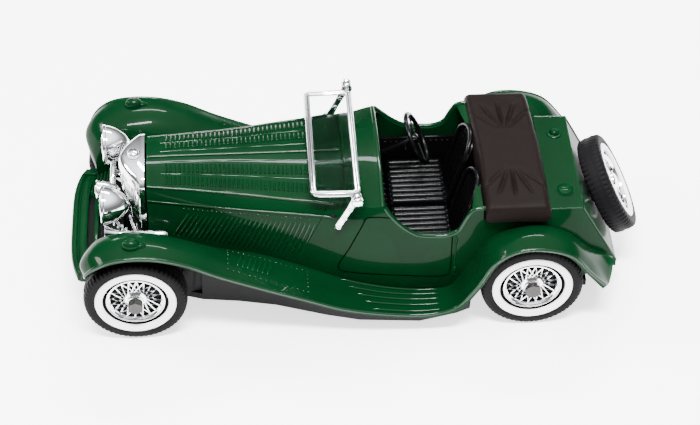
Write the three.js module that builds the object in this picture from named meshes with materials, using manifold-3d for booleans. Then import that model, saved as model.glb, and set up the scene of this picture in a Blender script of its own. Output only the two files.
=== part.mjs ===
// Diecast collector car: an open two-seat sports roadster, built from its castings, plated trim,
// moulded interior, folded hood and wire wheels. Millimetres; +X to the tail, +Y to the car's right,
// +Z up, origin on the ground under the middle of the car.
import * as THREE from 'three';
import { mergeVertices } from 'three/addons/utils/BufferGeometryUtils.js';
import Module from 'manifold-3d';

const wasm = await Module();
wasm.setup();

// ---------------------------------------------------------------- driving dimensions
const WHEELBASE = 69.5;
const FRONT_AXLE_X = -39.5;
const TYRE_RADIUS = 9.1;
const WING_HALF_WIDTH = 21;
const TYRE_WIDTH = 4.2;
const TRACK = 35;
const AXLE_RADIUS = 1;
const AXLE_HEAD_RADIUS = 1.4;
const AXLE_HEAD_LENGTH = 0.8;
const RUNNING_CLEARANCE = 0.07;
const FIT_GAP = 0.3;
const BODY_WALL = 1;
const WING_WALL = 0.9;
const FLOOR_TOP = 4.9;
const FLOOR_THICKNESS = 0.9;
const BASEPLATE_THICKNESS = 1.4;
const RADIATOR_DEPTH = 4.6;
const HEADLAMP_RADIUS = 3.55;
const HEADLAMP_DEPTH = 5;
const STEERING_WHEEL_RADIUS = 4.7;
const SCREEN_HEIGHT = 7.9;
const SCREEN_BAR = 1.6;
const HOOD_TOP = 25.3;
const WHEEL_SIDES = 24;

// The body's lines are drawn once at this size and stretched to the driving dimensions.
const DRAWN = { wheelbase: 69.5, frontAxle: -39.5, tyreRadius: 9.1, halfWidth: 21, hoodTop: 25.3 };
const ARCH_REACH = 10.5;
const REAR_AXLE_X = FRONT_AXLE_X + WHEELBASE;
const ARCH_SCALE = TYRE_RADIUS / DRAWN.tyreRadius;

function aroundAxle(offset) {
  const reach = Math.min(Math.abs(offset), ARCH_REACH);
  return offset + Math.sign(offset) * reach * (ARCH_SCALE - 1);
}

// Drawn length to real length: arches follow the tyre, the middle follows the wheelbase.
function X(x) {
  const fromFront = x - DRAWN.frontAxle;
  const fromRear = fromFront - DRAWN.wheelbase;
  if (fromFront <= ARCH_REACH) return FRONT_AXLE_X + aroundAxle(fromFront);
  if (fromRear >= -ARCH_REACH) return REAR_AXLE_X + aroundAxle(fromRear);
  const start = FRONT_AXLE_X + aroundAxle(ARCH_REACH);
  const end = REAR_AXLE_X + aroundAxle(-ARCH_REACH);
  const share = (fromFront - ARCH_REACH) / (DRAWN.wheelbase - 2 * ARCH_REACH);
  return start + share * (end - start);
}

function Y(y) {
  return (y * WING_HALF_WIDTH) / DRAWN.halfWidth;
}

// Drawn height to real height: what is below the tyre's top scales with it, the rest is lifted.
function Z(z) {
  return z + Math.min(z, 2 * DRAWN.tyreRadius) * (ARCH_SCALE - 1);
}

function at(x, y, z) {
  return new THREE.Vector3(X(x), Y(y), Z(z));
}

// ---------------------------------------------------------------- solid helpers
function welded(geometry) {
  const bare = geometry.clone();
  bare.deleteAttribute('normal');
  bare.deleteAttribute('uv');
  return mergeVertices(bare, 1e-4);
}

function solid(geometry) {
  const merged = welded(geometry);
  const vertProperties = new Float32Array(merged.attributes.position.array);
  const triVerts = new Uint32Array(merged.index.array);
  return new wasm.Manifold(new wasm.Mesh({ numProp: 3, vertProperties, triVerts }));
}

function geometryOf(manifold) {
  const mesh = manifold.getMesh();
  const geometry = new THREE.BufferGeometry();
  geometry.setAttribute('position', new THREE.BufferAttribute(mesh.vertProperties, 3));
  geometry.setIndex(new THREE.BufferAttribute(mesh.triVerts, 1));
  return geometry;
}

function join(geometries) {
  return geometries.map(solid).reduce((all, next) => all.add(next));
}

function cut(body, cutters) {
  return cutters.map(solid).reduce((left, cutter) => left.subtract(cutter), body);
}

function moved(geometry, x, y, z) {
  return geometry.translate(x, y, z);
}

// A box given by its lowest and highest corner, in real millimetres.
function block(low, high) {
  const size = high.map((value, i) => value - low[i]);
  const middle = high.map((value, i) => (value + low[i]) / 2);
  return moved(new THREE.BoxGeometry(...size), ...middle);
}

// A straight rod between two points; sides of 4 give a square bar.
function rod(from, to, startRadius, endRadius, sides) {
  const along = new THREE.Vector3().subVectors(to, from);
  const geometry = new THREE.CylinderGeometry(endRadius, startRadius, along.length(), sides);
  const turn = new THREE.Quaternion().setFromUnitVectors(new THREE.Vector3(0, 1, 0), along.clone().normalize());
  const middle = new THREE.Vector3().addVectors(from, to).multiplyScalar(0.5);
  return geometry.applyQuaternion(turn).translate(middle.x, middle.y, middle.z);
}

function rodY(x, z, fromY, toY, radius, sides) {
  return rod(new THREE.Vector3(x, fromY, z), new THREE.Vector3(x, toY, z), radius, radius, sides);
}

// A turned piece about the Y axis from a closed profile of [radius, height] pairs.
function turned(profile, sides) {
  const outline = profile.map(([radius, height]) => new THREE.Vector2(radius, height));
  const closed = profile.every(([radius]) => radius > 0) ? [...outline, outline[0].clone()] : outline;
  const geometry = new THREE.LatheGeometry(closed, sides);
  return signedVolume(geometry) < 0 ? flipped(geometry) : geometry;
}

function signedVolume(geometry) {
  const p = geometry.attributes.position;
  const index = geometry.index.array;
  const a = new THREE.Vector3();
  const b = new THREE.Vector3();
  const c = new THREE.Vector3();
  let volume = 0;
  for (let i = 0; i < index.length; i += 3) {
    a.fromBufferAttribute(p, index[i]);
    b.fromBufferAttribute(p, index[i + 1]);
    c.fromBufferAttribute(p, index[i + 2]);
    volume += a.dot(b.cross(c)) / 6;
  }
  return volume;
}

function flipped(geometry) {
  const index = geometry.index.array;
  for (let i = 0; i < index.length; i += 3) {
    [index[i], index[i + 1]] = [index[i + 1], index[i]];
  }
  return geometry;
}

function mirrored(geometry) {
  return flipped(welded(geometry).scale(1, -1, 1));
}

function capTriangles(section, offset, alongLoop) {
  const normal = new THREE.Vector3();
  section.forEach((point, i) => {
    normal.add(new THREE.Vector3().crossVectors(point, section[(i + 1) % section.length]));
  });
  const facing = ['x', 'y', 'z'].reduce((a, b) => (Math.abs(normal[b]) > Math.abs(normal[a]) ? b : a));
  const [u, v] = ['x', 'y', 'z'].filter((axis) => axis !== facing);
  const flat = section.map((point) => new THREE.Vector2(point[u], point[v]));
  const loopSign = Math.sign(THREE.ShapeUtils.area(flat));
  return THREE.ShapeUtils.triangulateShape(flat, []).flatMap(([i, j, k]) => {
    const sign = Math.sign(THREE.ShapeUtils.area([flat[i], flat[j], flat[k]])) * loopSign;
    const forward = alongLoop ? sign > 0 : sign < 0;
    return forward ? [i + offset, j + offset, k + offset] : [j + offset, i + offset, k + offset];
  });
}

// A closed solid through sections, each a loop of the same number of points.
function loft(sections) {
  const count = sections[0].length;
  const last = sections.length - 1;
  const faces = [];
  for (let s = 0; s < last; s += 1) {
    for (let i = 0; i < count; i += 1) {
      const a = s * count + i;
      const b = s * count + ((i + 1) % count);
      faces.push(a, b, b + count, a, b + count, a + count);
    }
  }
  faces.push(...capTriangles(sections[0], 0, false));
  faces.push(...capTriangles(sections[last], last * count, true));
  const geometry = new THREE.BufferGeometry().setFromPoints(sections.flat());
  geometry.setIndex(faces);
  return signedVolume(geometry) < 0 ? flipped(geometry) : geometry;
}

// The value of a table column at x, with straight lines between the rows.
function between(rows, x, column) {
  const next = rows.findIndex((row) => row[0] >= x);
  if (next === 0) return rows[0][column];
  if (next < 0) return rows[rows.length - 1][column];
  const [low, high] = [rows[next - 1], rows[next]];
  const share = (x - low[0]) / (high[0] - low[0]);
  return low[column] + share * (high[column] - low[column]);
}

// ---------------------------------------------------------------- finishes
const FINISHES = {
  green: { color: 0x0b4a26, roughness: 0.18, metalness: 0.1 },
  chrome: { color: 0xdcdfe2, roughness: 0.12, metalness: 1 },
  steel: { color: 0x8f9194, roughness: 0.35, metalness: 1 },
  tyre: { color: 0x1d1c1e, roughness: 0.8, metalness: 0 },
  white: { color: 0xf2f2f0, roughness: 0.45, metalness: 0 },
  black: { color: 0x0d0d0e, roughness: 0.25, metalness: 0 },
  hood: { color: 0x241f1e, roughness: 0.7, metalness: 0 },
  clear: { color: 0xe8f0f2, roughness: 0.05, metalness: 0 },
};

const car = new THREE.Group();

function add(name, geometry, finish, parent = car) {
  const shape = geometry.isBufferGeometry ? geometry : geometryOf(geometry);
  const mesh = new THREE.Mesh(shape, new THREE.MeshStandardMaterial(FINISHES[finish]));
  mesh.name = name;
  parent.add(mesh);
  return mesh;
}

const SIDES = [
  { name: 'left', sign: -1 },
  { name: 'right', sign: 1 },
];

// ---------------------------------------------------------------- body casting
// Drawn lines of the body, front to rear: x, bottom z, bottom half-width, waist half-width and z,
// shoulder half-width and z, crown z.
const BODY_LINES = [
  [-36.9, 11, 8, 7.5, 19.8, 6.4, 24.5, 25.6],
  [-30, 10.5, 9.5, 8.7, 20.3, 7.2, 24.3, 25.7],
  [-22.5, 9.5, 11, 10, 20.8, 8.2, 24, 25.7],
  [-14, 7.5, 12.6, 11.4, 21.3, 9.8, 23.9, 25.7],
  [-6.3, 5.3, 13.9, 12.7, 21.8, 11.2, 23.8, 25.7],
  [-1, 5.3, 14.3, 13.8, 21.7, 12.5, 23.5, 25.9],
  [3.9, 5.3, 14.5, 14.2, 21.5, 13.3, 24.2, 26.3],
  [12, 5.3, 14.6, 14.7, 21, 13.9, 24.2, 26.3],
  [20, 5.3, 14.4, 14.6, 20, 14.2, 24, 25],
  [24, 5.3, 14.2, 14.5, 19.5, 14, 23, 24],
  [33, 5.3, 14, 14.2, 18.8, 12.3, 21.3, 21.4],
  [39, 5.3, 13.4, 13.6, 14.5, 12.1, 21.2, 21.3],
  [46.1, 6.2, 11.6, 12, 7, 11.9, 7.8, 8],
];
const BODY_FRONT = BODY_LINES[0][0];
const SCUTTLE_REAR = 3.9;
const HOOD_FRONT = 21.45;
const HOOD_REAR = 32.85;
const HOOD_SEAT_Z = 21;
const DECK_REAR = 39;

// One cross-section of the body, drawn in by inset, its underside at the drawn height bottom.
function bodySection(x, inset, bottom = between(BODY_LINES, x, 1)) {
  const [, , low, waist, waistZ, shoulder, shoulderZ, crownZ] = BODY_LINES[0]
    .map((value, column) => (column === 0 ? x : between(BODY_LINES, x, column)));
  const half = [
    [Y(low) - inset, Z(bottom)],
    [Y(waist) - inset, Z(waistZ)],
    [Y(shoulder) - 0.8 * inset, Z(shoulderZ) - 0.8 * inset],
    [Y(shoulder) * 0.55, Z(shoulderZ + 0.75 * (crownZ - shoulderZ)) - inset],
    [0, Z(crownZ) - inset],
  ];
  const other = half.slice(0, -1).reverse().map(([y, z]) => [-y, z]);
  return [...half, ...other].map(([y, z]) => new THREE.Vector3(X(x), y, z));
}

function bodyLoft(stations, inset, bottom) {
  return loft(stations.map((x) => bodySection(x, inset, bottom)));
}

// The line along the tops of the doors, which also trims the scuttle and the seat surround.
const DOOR_TOP = [
  [3.9, 24.2], [5.5, 22], [7.5, 19.9], [9.8, 18.4], [12.2, 18], [15, 18],
  [17, 19], [18.2, 21.4], [19.2, 23.2], [20.2, 23.6], [21.7, 23.6],
];
const ABOVE_CAR = 40;
const BELOW_CAR = -5;

// An outline drawn in x and z, extruded across the car between two real widths.
function acrossCar(outline, fromY, toY) {
  const shape = new THREE.Shape(outline.map(([x, z]) => new THREE.Vector2(X(x), Z(z))));
  const geometry = new THREE.ExtrudeGeometry(shape, { depth: toY - fromY, bevelEnabled: false });
  return geometry.rotateX(Math.PI / 2).translate(0, toY, 0);
}

function bodyCasting() {
  const wide = WING_HALF_WIDTH;
  const outer = bodyLoft(BODY_LINES.map((row) => row[0]), 0);
  const innerStations = [BODY_FRONT + 1, -30, -22.5, -14, -6.3, -1, 3.9, 12, 20, 24, 33, 38];
  const rear = bodySection(DECK_REAR + 5.4, BODY_WALL + FIT_GAP, BELOW_CAR);
  const hollow = loft([...innerStations.map((x) => bodySection(x, BODY_WALL, BELOW_CAR)), rear]);
  const cockpit = acrossCar([...DOOR_TOP, [21.7, ABOVE_CAR], [3.9, ABOVE_CAR]], -wide, wide);
  const hoodSeat = block(
    [X(HOOD_FRONT) - FIT_GAP, -wide, Z(HOOD_SEAT_Z)],
    [X(HOOD_REAR) + FIT_GAP, wide, ABOVE_CAR],
  );
  const slot = AXLE_RADIUS + FIT_GAP;
  const axleSlot = block([REAR_AXLE_X - slot, -wide, BELOW_CAR], [REAR_AXLE_X + slot, wide, TYRE_RADIUS + slot]);
  return cut(solid(outer), [hollow, cockpit, hoodSeat, axleSlot]);
}

// ---------------------------------------------------------------- wings, running boards, floor
// Drawn rails of the right-hand wing from the nose to the tail, each [x, y, z] at the same stations.
const WING_RAILS = [
  // inner edge
  [
    [-46.3, 12.4, 9.4], [-45.9, 12.4, 9.4], [-45.1, 12.4, 9.4], [-43.3, 12.4, 9.4], [-39.5, 12.3, 9.6],
    [-35.5, 10.6, 12], [-31, 10.3, 13.4], [-25, 10.6, 12.6], [-18, 11.6, 11.8], [-10.5, 12.4, 9.6],
    [-3, 13.3, 7], [5, 13.6, 5], [12, 13.6, 4.9], [15.8, 13.6, 5.2], [18.9, 13.4, 10.6],
    [22.1, 13.2, 16.2], [26, 13.2, 18.2], [31, 13.2, 19], [35.7, 13.2, 17], [40.2, 13, 12.8],
    [45, 12.9, 9.8],
  ],
  // where the inner side turns over into the crown
  [
    [-46.9, 13, 11], [-47.1, 13, 15.2], [-45.8, 13, 18.2], [-43.3, 13, 19.5], [-39.5, 12.9, 19.8],
    [-35.2, 11.9, 17.6], [-30.6, 11.1, 15.3], [-25, 11.5, 14.1], [-18, 12.4, 13.2], [-10.5, 13.3, 10.8],
    [-3, 14.1, 8], [5, 14.4, 5.8], [12, 14.4, 5], [15.9, 14.4, 5.5], [19, 14.2, 11.1],
    [22.2, 14, 16.8], [26, 14, 18.7], [31, 14, 19.5], [35.8, 14, 17.6], [40.3, 14, 13.4], [45, 14, 10.2],
  ],
  // inner crown
  [
    [-47.9, 14.8, 13.1], [-48.1, 14.8, 16.4], [-46.2, 15, 19.5], [-43.4, 15.2, 21], [-39.5, 15.1, 21.6],
    [-35, 14.8, 20.9], [-30.2, 14.3, 18.8], [-25, 14.5, 16.6], [-18, 14.9, 13.9], [-10.5, 15.4, 10.9],
    [-3, 15.9, 7.8], [5, 16.2, 5.7], [12, 16.2, 5.1], [16, 16.2, 5.7], [19.3, 16.1, 11.3],
    [22.4, 16, 17.4], [26.2, 16, 19.9], [31, 16, 20.7], [35.9, 16, 18.9], [40.2, 16, 14.5], [44.7, 15.8, 9.2],
  ],
  // crown
  [
    [-48.4, 16.8, 14.4], [-48.6, 17.2, 16.9], [-46.6, 17.8, 19.9], [-43.4, 18, 21.4], [-39.5, 18, 22],
    [-35, 17.9, 21.7], [-30.2, 17.7, 20.1], [-25, 17.7, 17.5], [-18, 17.9, 14.2], [-10.5, 18.1, 10.9],
    [-3, 18.4, 7.6], [5, 18.5, 5.7], [12, 18.5, 5.2], [16.2, 18.5, 6], [19.5, 18.4, 11.5],
    [22.6, 18.4, 17.7], [26.3, 18.4, 20.4], [31, 18.4, 20.9], [36, 18.4, 19.2], [40.1, 18.4, 14.6],
    [43.9, 18, 8.4],
  ],
  // outer lip
  [
    [-47.8, 18.6, 14.9], [-47.6, 20, 17], [-46, 20.8, 19.3], [-43.4, 21, 20.9], [-39.5, 21, 21.5],
    [-35, 21, 21.1], [-30.2, 21, 19.5], [-25, 21, 16.7], [-18, 21, 13.5], [-10.5, 21, 10.3],
    [-3, 21, 7.2], [5, 21, 5.5], [12, 21, 5.1], [16.3, 21, 6.5], [19.8, 21, 11.2],
    [22.9, 21, 17.3], [26.4, 21, 19.8], [31, 21, 20.1], [36, 21, 18.4], [39.9, 21, 13.8], [42.9, 20.4, 10],
  ],
];
const WING_STEPS = 34;
const RUNNING_BOARD = { ribs: 6, inner: 15.2, outer: 20.2, width: 0.5, height: 0.22, line: [[1.5, 6.2], [7, 5.5], [14.5, 5.4]] };
const SIDE_LAMP = { x: -39.4, y: 18.6, length: 1.6, width: 1.1, height: 0.9 };
const VALANCE = { front: -51.2, rear: -48.3, halfWidth: 13.2, bottom: 8.2, top: 10.4, skin: 1.2 };
const CHASSIS_RAIL = { inner: 8.4, outer: 10, bottom: 4.4, top: 6.6 };
const CROSS_MEMBER = { from: -28, to: -22 };

function wingRibbon() {
  const curves = WING_RAILS.map((rail) => new THREE.CatmullRomCurve3(rail.map(([x, y, z]) => at(x, y, z))));
  const grid = [];
  for (let i = 0; i <= WING_STEPS; i += 1) {
    grid.push(curves.map((curve) => curve.getPoint(i / WING_STEPS)));
  }
  const clampRow = (i) => Math.min(Math.max(i, 0), WING_STEPS);
  const clampRail = (j) => Math.min(Math.max(j, 0), curves.length - 1);
  const under = (i, j) => {
    const along = new THREE.Vector3().subVectors(grid[clampRow(i + 1)][j], grid[clampRow(i - 1)][j]);
    const across = new THREE.Vector3().subVectors(grid[i][clampRail(j + 1)], grid[i][clampRail(j - 1)]);
    const inward = across.cross(along).normalize();
    return grid[i][j].clone().addScaledVector(inward, WING_WALL);
  };
  return loft(grid.map((row, i) => [...row, ...row.map((point, j) => under(i, j)).reverse()]));
}

function runningBoardRibs() {
  const pitch = (RUNNING_BOARD.outer - RUNNING_BOARD.inner) / (RUNNING_BOARD.ribs - 1);
  const ribs = [];
  for (let i = 0; i < RUNNING_BOARD.ribs; i += 1) {
    const y = RUNNING_BOARD.inner + i * pitch;
    const top = RUNNING_BOARD.line.map(([x, z]) => [x, z + RUNNING_BOARD.height]);
    const low = RUNNING_BOARD.line.map(([x, z]) => [x, z - WING_WALL / 2]).reverse();
    ribs.push(acrossCar([...top, ...low], Y(y) - RUNNING_BOARD.width / 2, Y(y) + RUNNING_BOARD.width / 2));
  }
  return ribs;
}

function sideLamp() {
  const pod = new THREE.SphereGeometry(1, 10, 6).scale(SIDE_LAMP.length, SIDE_LAMP.width, SIDE_LAMP.height);
  return moved(pod, X(SIDE_LAMP.x), Y(SIDE_LAMP.y), Z(22));
}

function frontValance() {
  const half = Y(VALANCE.halfWidth);
  const bow = (x, y) => new THREE.Vector2(x + 1.4 * (y / half) ** 4, y);
  const steps = [-1, -0.85, -0.6, 0, 0.6, 0.85, 1];
  const front = steps.map((share) => bow(X(VALANCE.front), share * half));
  const rear = steps.map((share) => bow(X(VALANCE.rear), share * half)).reverse();
  const depth = Z(VALANCE.top) - Z(VALANCE.bottom);
  const plan = new THREE.ExtrudeGeometry(new THREE.Shape([...front, ...rear]), { depth, bevelEnabled: false });
  return moved(plan, 0, 0, Z(VALANCE.bottom));
}

// The valance's ends turn back and up into the noses of the wings.
function valanceEnd() {
  const low = VALANCE.bottom;
  return loft([
    [at(-49.6, 12.6, low), at(-46.9, 12.2, low), at(-46.9, 12.2, 10.6), at(-49.6, 12.6, 10.6)],
    [at(-48.8, 14.7, 10.6), at(-47.2, 14.7, 10.6), at(-47.1, 14.7, 13.4), at(-48.2, 14.7, 13.4)],
  ]);
}

function chassisRail() {
  const { inner, outer, bottom, top } = CHASSIS_RAIL;
  return loft([
    [at(-10, inner, bottom), at(-10, outer, bottom), at(-10, outer, FLOOR_TOP), at(-10, inner, FLOOR_TOP)],
    [at(-30, inner, bottom), at(-30, outer, bottom), at(-30, outer, top), at(-30, inner, top)],
    [at(-44, inner, bottom), at(-44, outer, bottom), at(-44, outer, top), at(-44, inner, top)],
    [at(-49, inner, 7.4), at(-49, outer, 7.4), at(-49, outer, 9.4), at(-49, inner, 9.4)],
  ]);
}

function wingCasting() {
  const sidePieces = [wingRibbon(), ...runningBoardRibs(), sideLamp(), valanceEnd(), chassisRail()];
  const pieces = [...sidePieces, ...sidePieces.map(mirrored), frontValance()];
  const floorLow = Z(FLOOR_TOP) - FLOOR_THICKNESS;
  pieces.push(block([X(-12), -Y(14.2), floorLow], [X(26.5), Y(14.2), Z(FLOOR_TOP)]));
  pieces.push(block([X(CROSS_MEMBER.from), -Y(9.2), floorLow], [X(CROSS_MEMBER.to), Y(9.2), Z(FLOOR_TOP)]));
  const slot = AXLE_RADIUS + FIT_GAP;
  const cutters = [
    loft(BODY_LINES.map(([x, bottom]) => bodySection(x, -FIT_GAP, bottom - FIT_GAP))),
    rodY(FRONT_AXLE_X, TYRE_RADIUS, -Y(14.4), Y(14.4), slot, 16),
    ...RIVET_XS.map((x) => rivetShank(x, FIT_GAP)),
  ];
  return cut(join(pieces), cutters);
}

// ---------------------------------------------------------------- baseplate and rivets
const RIVET_XS = [-25, 23];
const RIVET = { radius: 1.1, headRadius: 1.9, headHeight: 0.5 };
const BASE_TOP = Z(FLOOR_TOP) - FLOOR_THICKNESS - FIT_GAP;
const BASE_BOTTOM = BASE_TOP - BASEPLATE_THICKNESS;
// Edge of the plate under the sloping wing: x, half-width, top of the skirt there.
const SKIRT_LINE = [
  [-28, 12.6, 12.4], [-21.4, 13.4, 12], [-14.9, 14.7, 10.6], [-6.1, 17.6, 7.4], [-0.3, 19.1, 5],
];
const SKIRT_WALL = 0.8;
const AXLE_CRADLE = { inner: 3, outer: 6.5, halfLength: 2 };

function rivetShank(x, extra) {
  const from = new THREE.Vector3(X(x), 0, BASE_BOTTOM - 1);
  const to = new THREE.Vector3(X(x), 0, Z(FLOOR_TOP) + 1);
  return rod(from, to, RIVET.radius + extra, RIVET.radius + extra, 16);
}

// The skirt stands on the plate's edge and closes the side under the wing.
function sideSkirt() {
  const low = BASE_TOP - 0.5;
  return loft(SKIRT_LINE.map(([x, y, z]) => [
    new THREE.Vector3(X(x), Y(y) - SKIRT_WALL, low), new THREE.Vector3(X(x), Y(y), low),
    new THREE.Vector3(X(x), Y(y), Z(z)), new THREE.Vector3(X(x), Y(y) - SKIRT_WALL, Z(z)),
  ]));
}

function baseplate() {
  const plan = [
    [-46, 9], [-41, 11.6], [-31, 11.6], ...SKIRT_LINE.map(([x, y]) => [x, y]), [10.3, 19.9], [17, 18.3],
    [19.5, 17.2], [20.5, 12.6], [41, 12.6],
  ];
  const outline = [...plan, ...plan.map(([x, y]) => [x, -y]).reverse()];
  const shape = new THREE.Shape(outline.map(([x, y]) => new THREE.Vector2(X(x), Y(y))));
  const plate = new THREE.ExtrudeGeometry(shape, { depth: BASEPLATE_THICKNESS, bevelEnabled: false });
  const pieces = [moved(plate, 0, 0, BASE_BOTTOM)];
  const cradleTop = TYRE_RADIUS - AXLE_RADIUS - FIT_GAP;
  const { inner, outer, halfLength } = AXLE_CRADLE;
  for (const { sign } of SIDES) {
    for (const axleX of [FRONT_AXLE_X, REAR_AXLE_X]) {
      const [lowY, highY] = sign < 0 ? [-outer, -inner] : [inner, outer];
      pieces.push(block([axleX - halfLength, lowY, BASE_TOP - 0.5], [axleX + halfLength, highY, cradleTop]));
    }
  }
  pieces.push(sideSkirt(), mirrored(sideSkirt()));
  return cut(join(pieces), RIVET_XS.map((x) => rivetShank(x, FIT_GAP)));
}

function rivet(x) {
  const bottom = BASE_BOTTOM - FIT_GAP;
  const profile = [
    [0, bottom - RIVET.headHeight], [RIVET.headRadius - 0.5, bottom - RIVET.headHeight],
    [RIVET.headRadius, bottom - 0.15], [RIVET.headRadius, bottom], [RIVET.radius, bottom],
    [RIVET.radius, Z(FLOOR_TOP)], [0, Z(FLOOR_TOP)],
  ];
  return turned(profile, 16).rotateX(Math.PI / 2).translate(X(x), 0, 0);
}

// ---------------------------------------------------------------- wheels and axles
const RIM_RADIUS = 5.45;
const WHITEWALL = { inner: 5.85, outer: 7.05, thickness: 0.4 };
const SPOKES = 10;
const HUB_RADIUS = 1.65;
const HUB_HALF_LENGTH = 2;

function tyre() {
  const half = TYRE_WIDTH / 2;
  const bore = RIM_RADIUS + FIT_GAP;
  const recess = WHITEWALL.outer + FIT_GAP;
  const ledge = half - 0.1 - WHITEWALL.thickness - FIT_GAP;
  return turned([
    [bore, 0.2 - half], [TYRE_RADIUS - 0.9, -half], [TYRE_RADIUS - 0.1, 0.65 - half],
    [TYRE_RADIUS, 0], [TYRE_RADIUS - 0.1, half - 0.65], [TYRE_RADIUS - 0.9, half],
    [recess, half], [recess, ledge], [bore, ledge],
  ], WHEEL_SIDES);
}

function whitewall() {
  const top = TYRE_WIDTH / 2 - 0.1;
  const low = top - WHITEWALL.thickness;
  return turned([
    [WHITEWALL.inner, low], [WHITEWALL.outer, low], [WHITEWALL.outer, top], [WHITEWALL.inner, top],
  ], WHEEL_SIDES);
}

function wireWheel(bore) {
  const half = TYRE_WIDTH / 2;
  const rim = turned([
    [RIM_RADIUS - 0.9, 0.4 - half], [RIM_RADIUS, 0.3 - half],
    [RIM_RADIUS, half - 0.7], [RIM_RADIUS - 0.35, half - 0.5], [RIM_RADIUS - 0.9, half - 1],
  ], WHEEL_SIDES);
  const hubOutline = [[bore, -HUB_HALF_LENGTH], [HUB_RADIUS, -HUB_HALF_LENGTH], [HUB_RADIUS, 1.2], [1.45, 1.9], [bore, 1.9]];
  const hub = bore > 0 ? hubOutline : [[0, -HUB_HALF_LENGTH], [HUB_RADIUS, -HUB_HALF_LENGTH], [2.4, 1], [1.5, 1.7], [0, 2]];
  const pieces = [rim, turned(hub, 12)];
  for (let i = 0; i < SPOKES; i += 1) {
    const angle = (i * 2 * Math.PI) / SPOKES;
    const lean = i % 2 ? 0.28 : -0.28;
    const foot = new THREE.Vector3(1.4 * Math.cos(angle), 0.7, 1.4 * Math.sin(angle));
    const reach = RIM_RADIUS - 0.55;
    const head = new THREE.Vector3(reach * Math.cos(angle + lean), 0, reach * Math.sin(angle + lean));
    pieces.push(rod(foot, head, 0.17, 0.17, 3));
  }
  return join(pieces);
}

const AXLES = [
  { name: 'front', x: FRONT_AXLE_X, headSides: 6, headLength: AXLE_HEAD_LENGTH + 0.5 },
  { name: 'rear', x: REAR_AXLE_X, headSides: 16, headLength: AXLE_HEAD_LENGTH },
];

function axle({ x, headSides, headLength }) {
  const face = Y(TRACK / 2) + HUB_HALF_LENGTH + 0.1;
  const pieces = [rodY(x, TYRE_RADIUS, -face - 0.2, face + 0.2, AXLE_RADIUS, 16)];
  for (const { sign } of SIDES) {
    pieces.push(rodY(x, TYRE_RADIUS, sign * face, sign * (face + headLength), AXLE_HEAD_RADIUS, headSides));
  }
  return join(pieces);
}

function addWheel(prefix, bore, position, turn) {
  const wheel = new THREE.Group();
  wheel.position.copy(position);
  wheel.rotation.copy(turn);
  add(`${prefix}_tyre`, tyre(), 'tyre', wheel);
  add(`${prefix}_whitewall`, whitewall(), 'white', wheel);
  add(`${prefix}_wire_wheel`, wireWheel(bore), 'chrome', wheel);
  car.add(wheel);
}

function addWheels() {
  for (const spec of AXLES) {
    add(`${spec.name}_axle`, axle(spec), 'steel');
    for (const { name, sign } of SIDES) {
      const position = new THREE.Vector3(spec.x, sign * Y(TRACK / 2), TYRE_RADIUS);
      const turn = new THREE.Euler(0, 0, sign < 0 ? Math.PI : 0);
      addWheel(`${spec.name}_${name}`, AXLE_RADIUS + RUNNING_CLEARANCE, position, turn);
    }
  }
}

// ---------------------------------------------------------------- spare wheel
const SPARE_FOOT_GAP = 0.15;

// The spare lies against the sloping tail, its axis square to the slope.
function tailSlope() {
  const top = at(DECK_REAR, 0, 21.2);
  const bottom = at(BODY_LINES[BODY_LINES.length - 1][0], 0, 7.9);
  const down = bottom.sub(top).normalize();
  return { top, down, out: new THREE.Vector3(-down.z, 0, down.x) };
}

function addSpare() {
  const { top, down, out } = tailSlope();
  const lift = TYRE_WIDTH / 2 + 3 * FIT_GAP;
  const centre = top.clone().addScaledVector(down, TYRE_RADIUS - 0.9).addScaledVector(out, lift);
  const up = down.clone().negate();
  const basis = new THREE.Matrix4().makeBasis(new THREE.Vector3(0, -1, 0), out, up);
  const turn = new THREE.Euler().setFromRotationMatrix(basis);
  addWheel('spare', 0, centre, turn);
  const inner = -HUB_HALF_LENGTH - FIT_GAP;
  const foot = SPARE_FOOT_GAP - lift;
  const bracket = turned([[0, foot], [2.2, foot], [2.2, inner], [0, inner]], 16);
  const mesh = add('spare_bracket', bracket, 'steel');
  mesh.position.copy(centre);
  mesh.rotation.copy(turn);
}

// ---------------------------------------------------------------- radiator, lamps and horns
const RADIATOR = { back: -37.2, bottom: 10.7, shoulder: 24.4, top: 26.4, halfWidth: 7.5, frame: 1.2 };

// Plan of the radiator at one height: a flat back and a bowed vee front.
function radiatorPlan(z, halfWidth, depth, inset = 0) {
  const shares = [1, 0.85, 0.6, 0.3, 0, -0.3, -0.6, -0.85, -1];
  const back = X(RADIATOR.back);
  const front = shares.map((share) => {
    const bow = 1 - Math.abs(share) ** 1.7;
    return new THREE.Vector3(back - 0.9 - (depth - 0.9) * bow + inset, share * (halfWidth - inset), z);
  });
  return [new THREE.Vector3(back, halfWidth - inset, z), ...front, new THREE.Vector3(back, inset - halfWidth, z)];
}

function radiatorShell() {
  const half = Y(RADIATOR.halfWidth);
  const { bottom, shoulder, top, frame } = RADIATOR;
  const outer = loft([
    radiatorPlan(Z(bottom), half + 0.2, RADIATOR_DEPTH - 1.2),
    radiatorPlan(Z(17), half + 0.1, RADIATOR_DEPTH - 0.5),
    radiatorPlan(Z(shoulder), half - 0.5, RADIATOR_DEPTH),
    radiatorPlan(Z(top) - 0.6, half - 1.5, RADIATOR_DEPTH - 0.2),
    radiatorPlan(Z(top), half - 3, RADIATOR_DEPTH - 1.1),
  ]);
  const opening = block(
    [X(-50), -half + frame, Z(bottom) + frame],
    [X(RADIATOR.back) - 1.1, half - frame, Z(shoulder) - 0.9],
  );
  return cut(solid(outer), [opening]);
}

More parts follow.
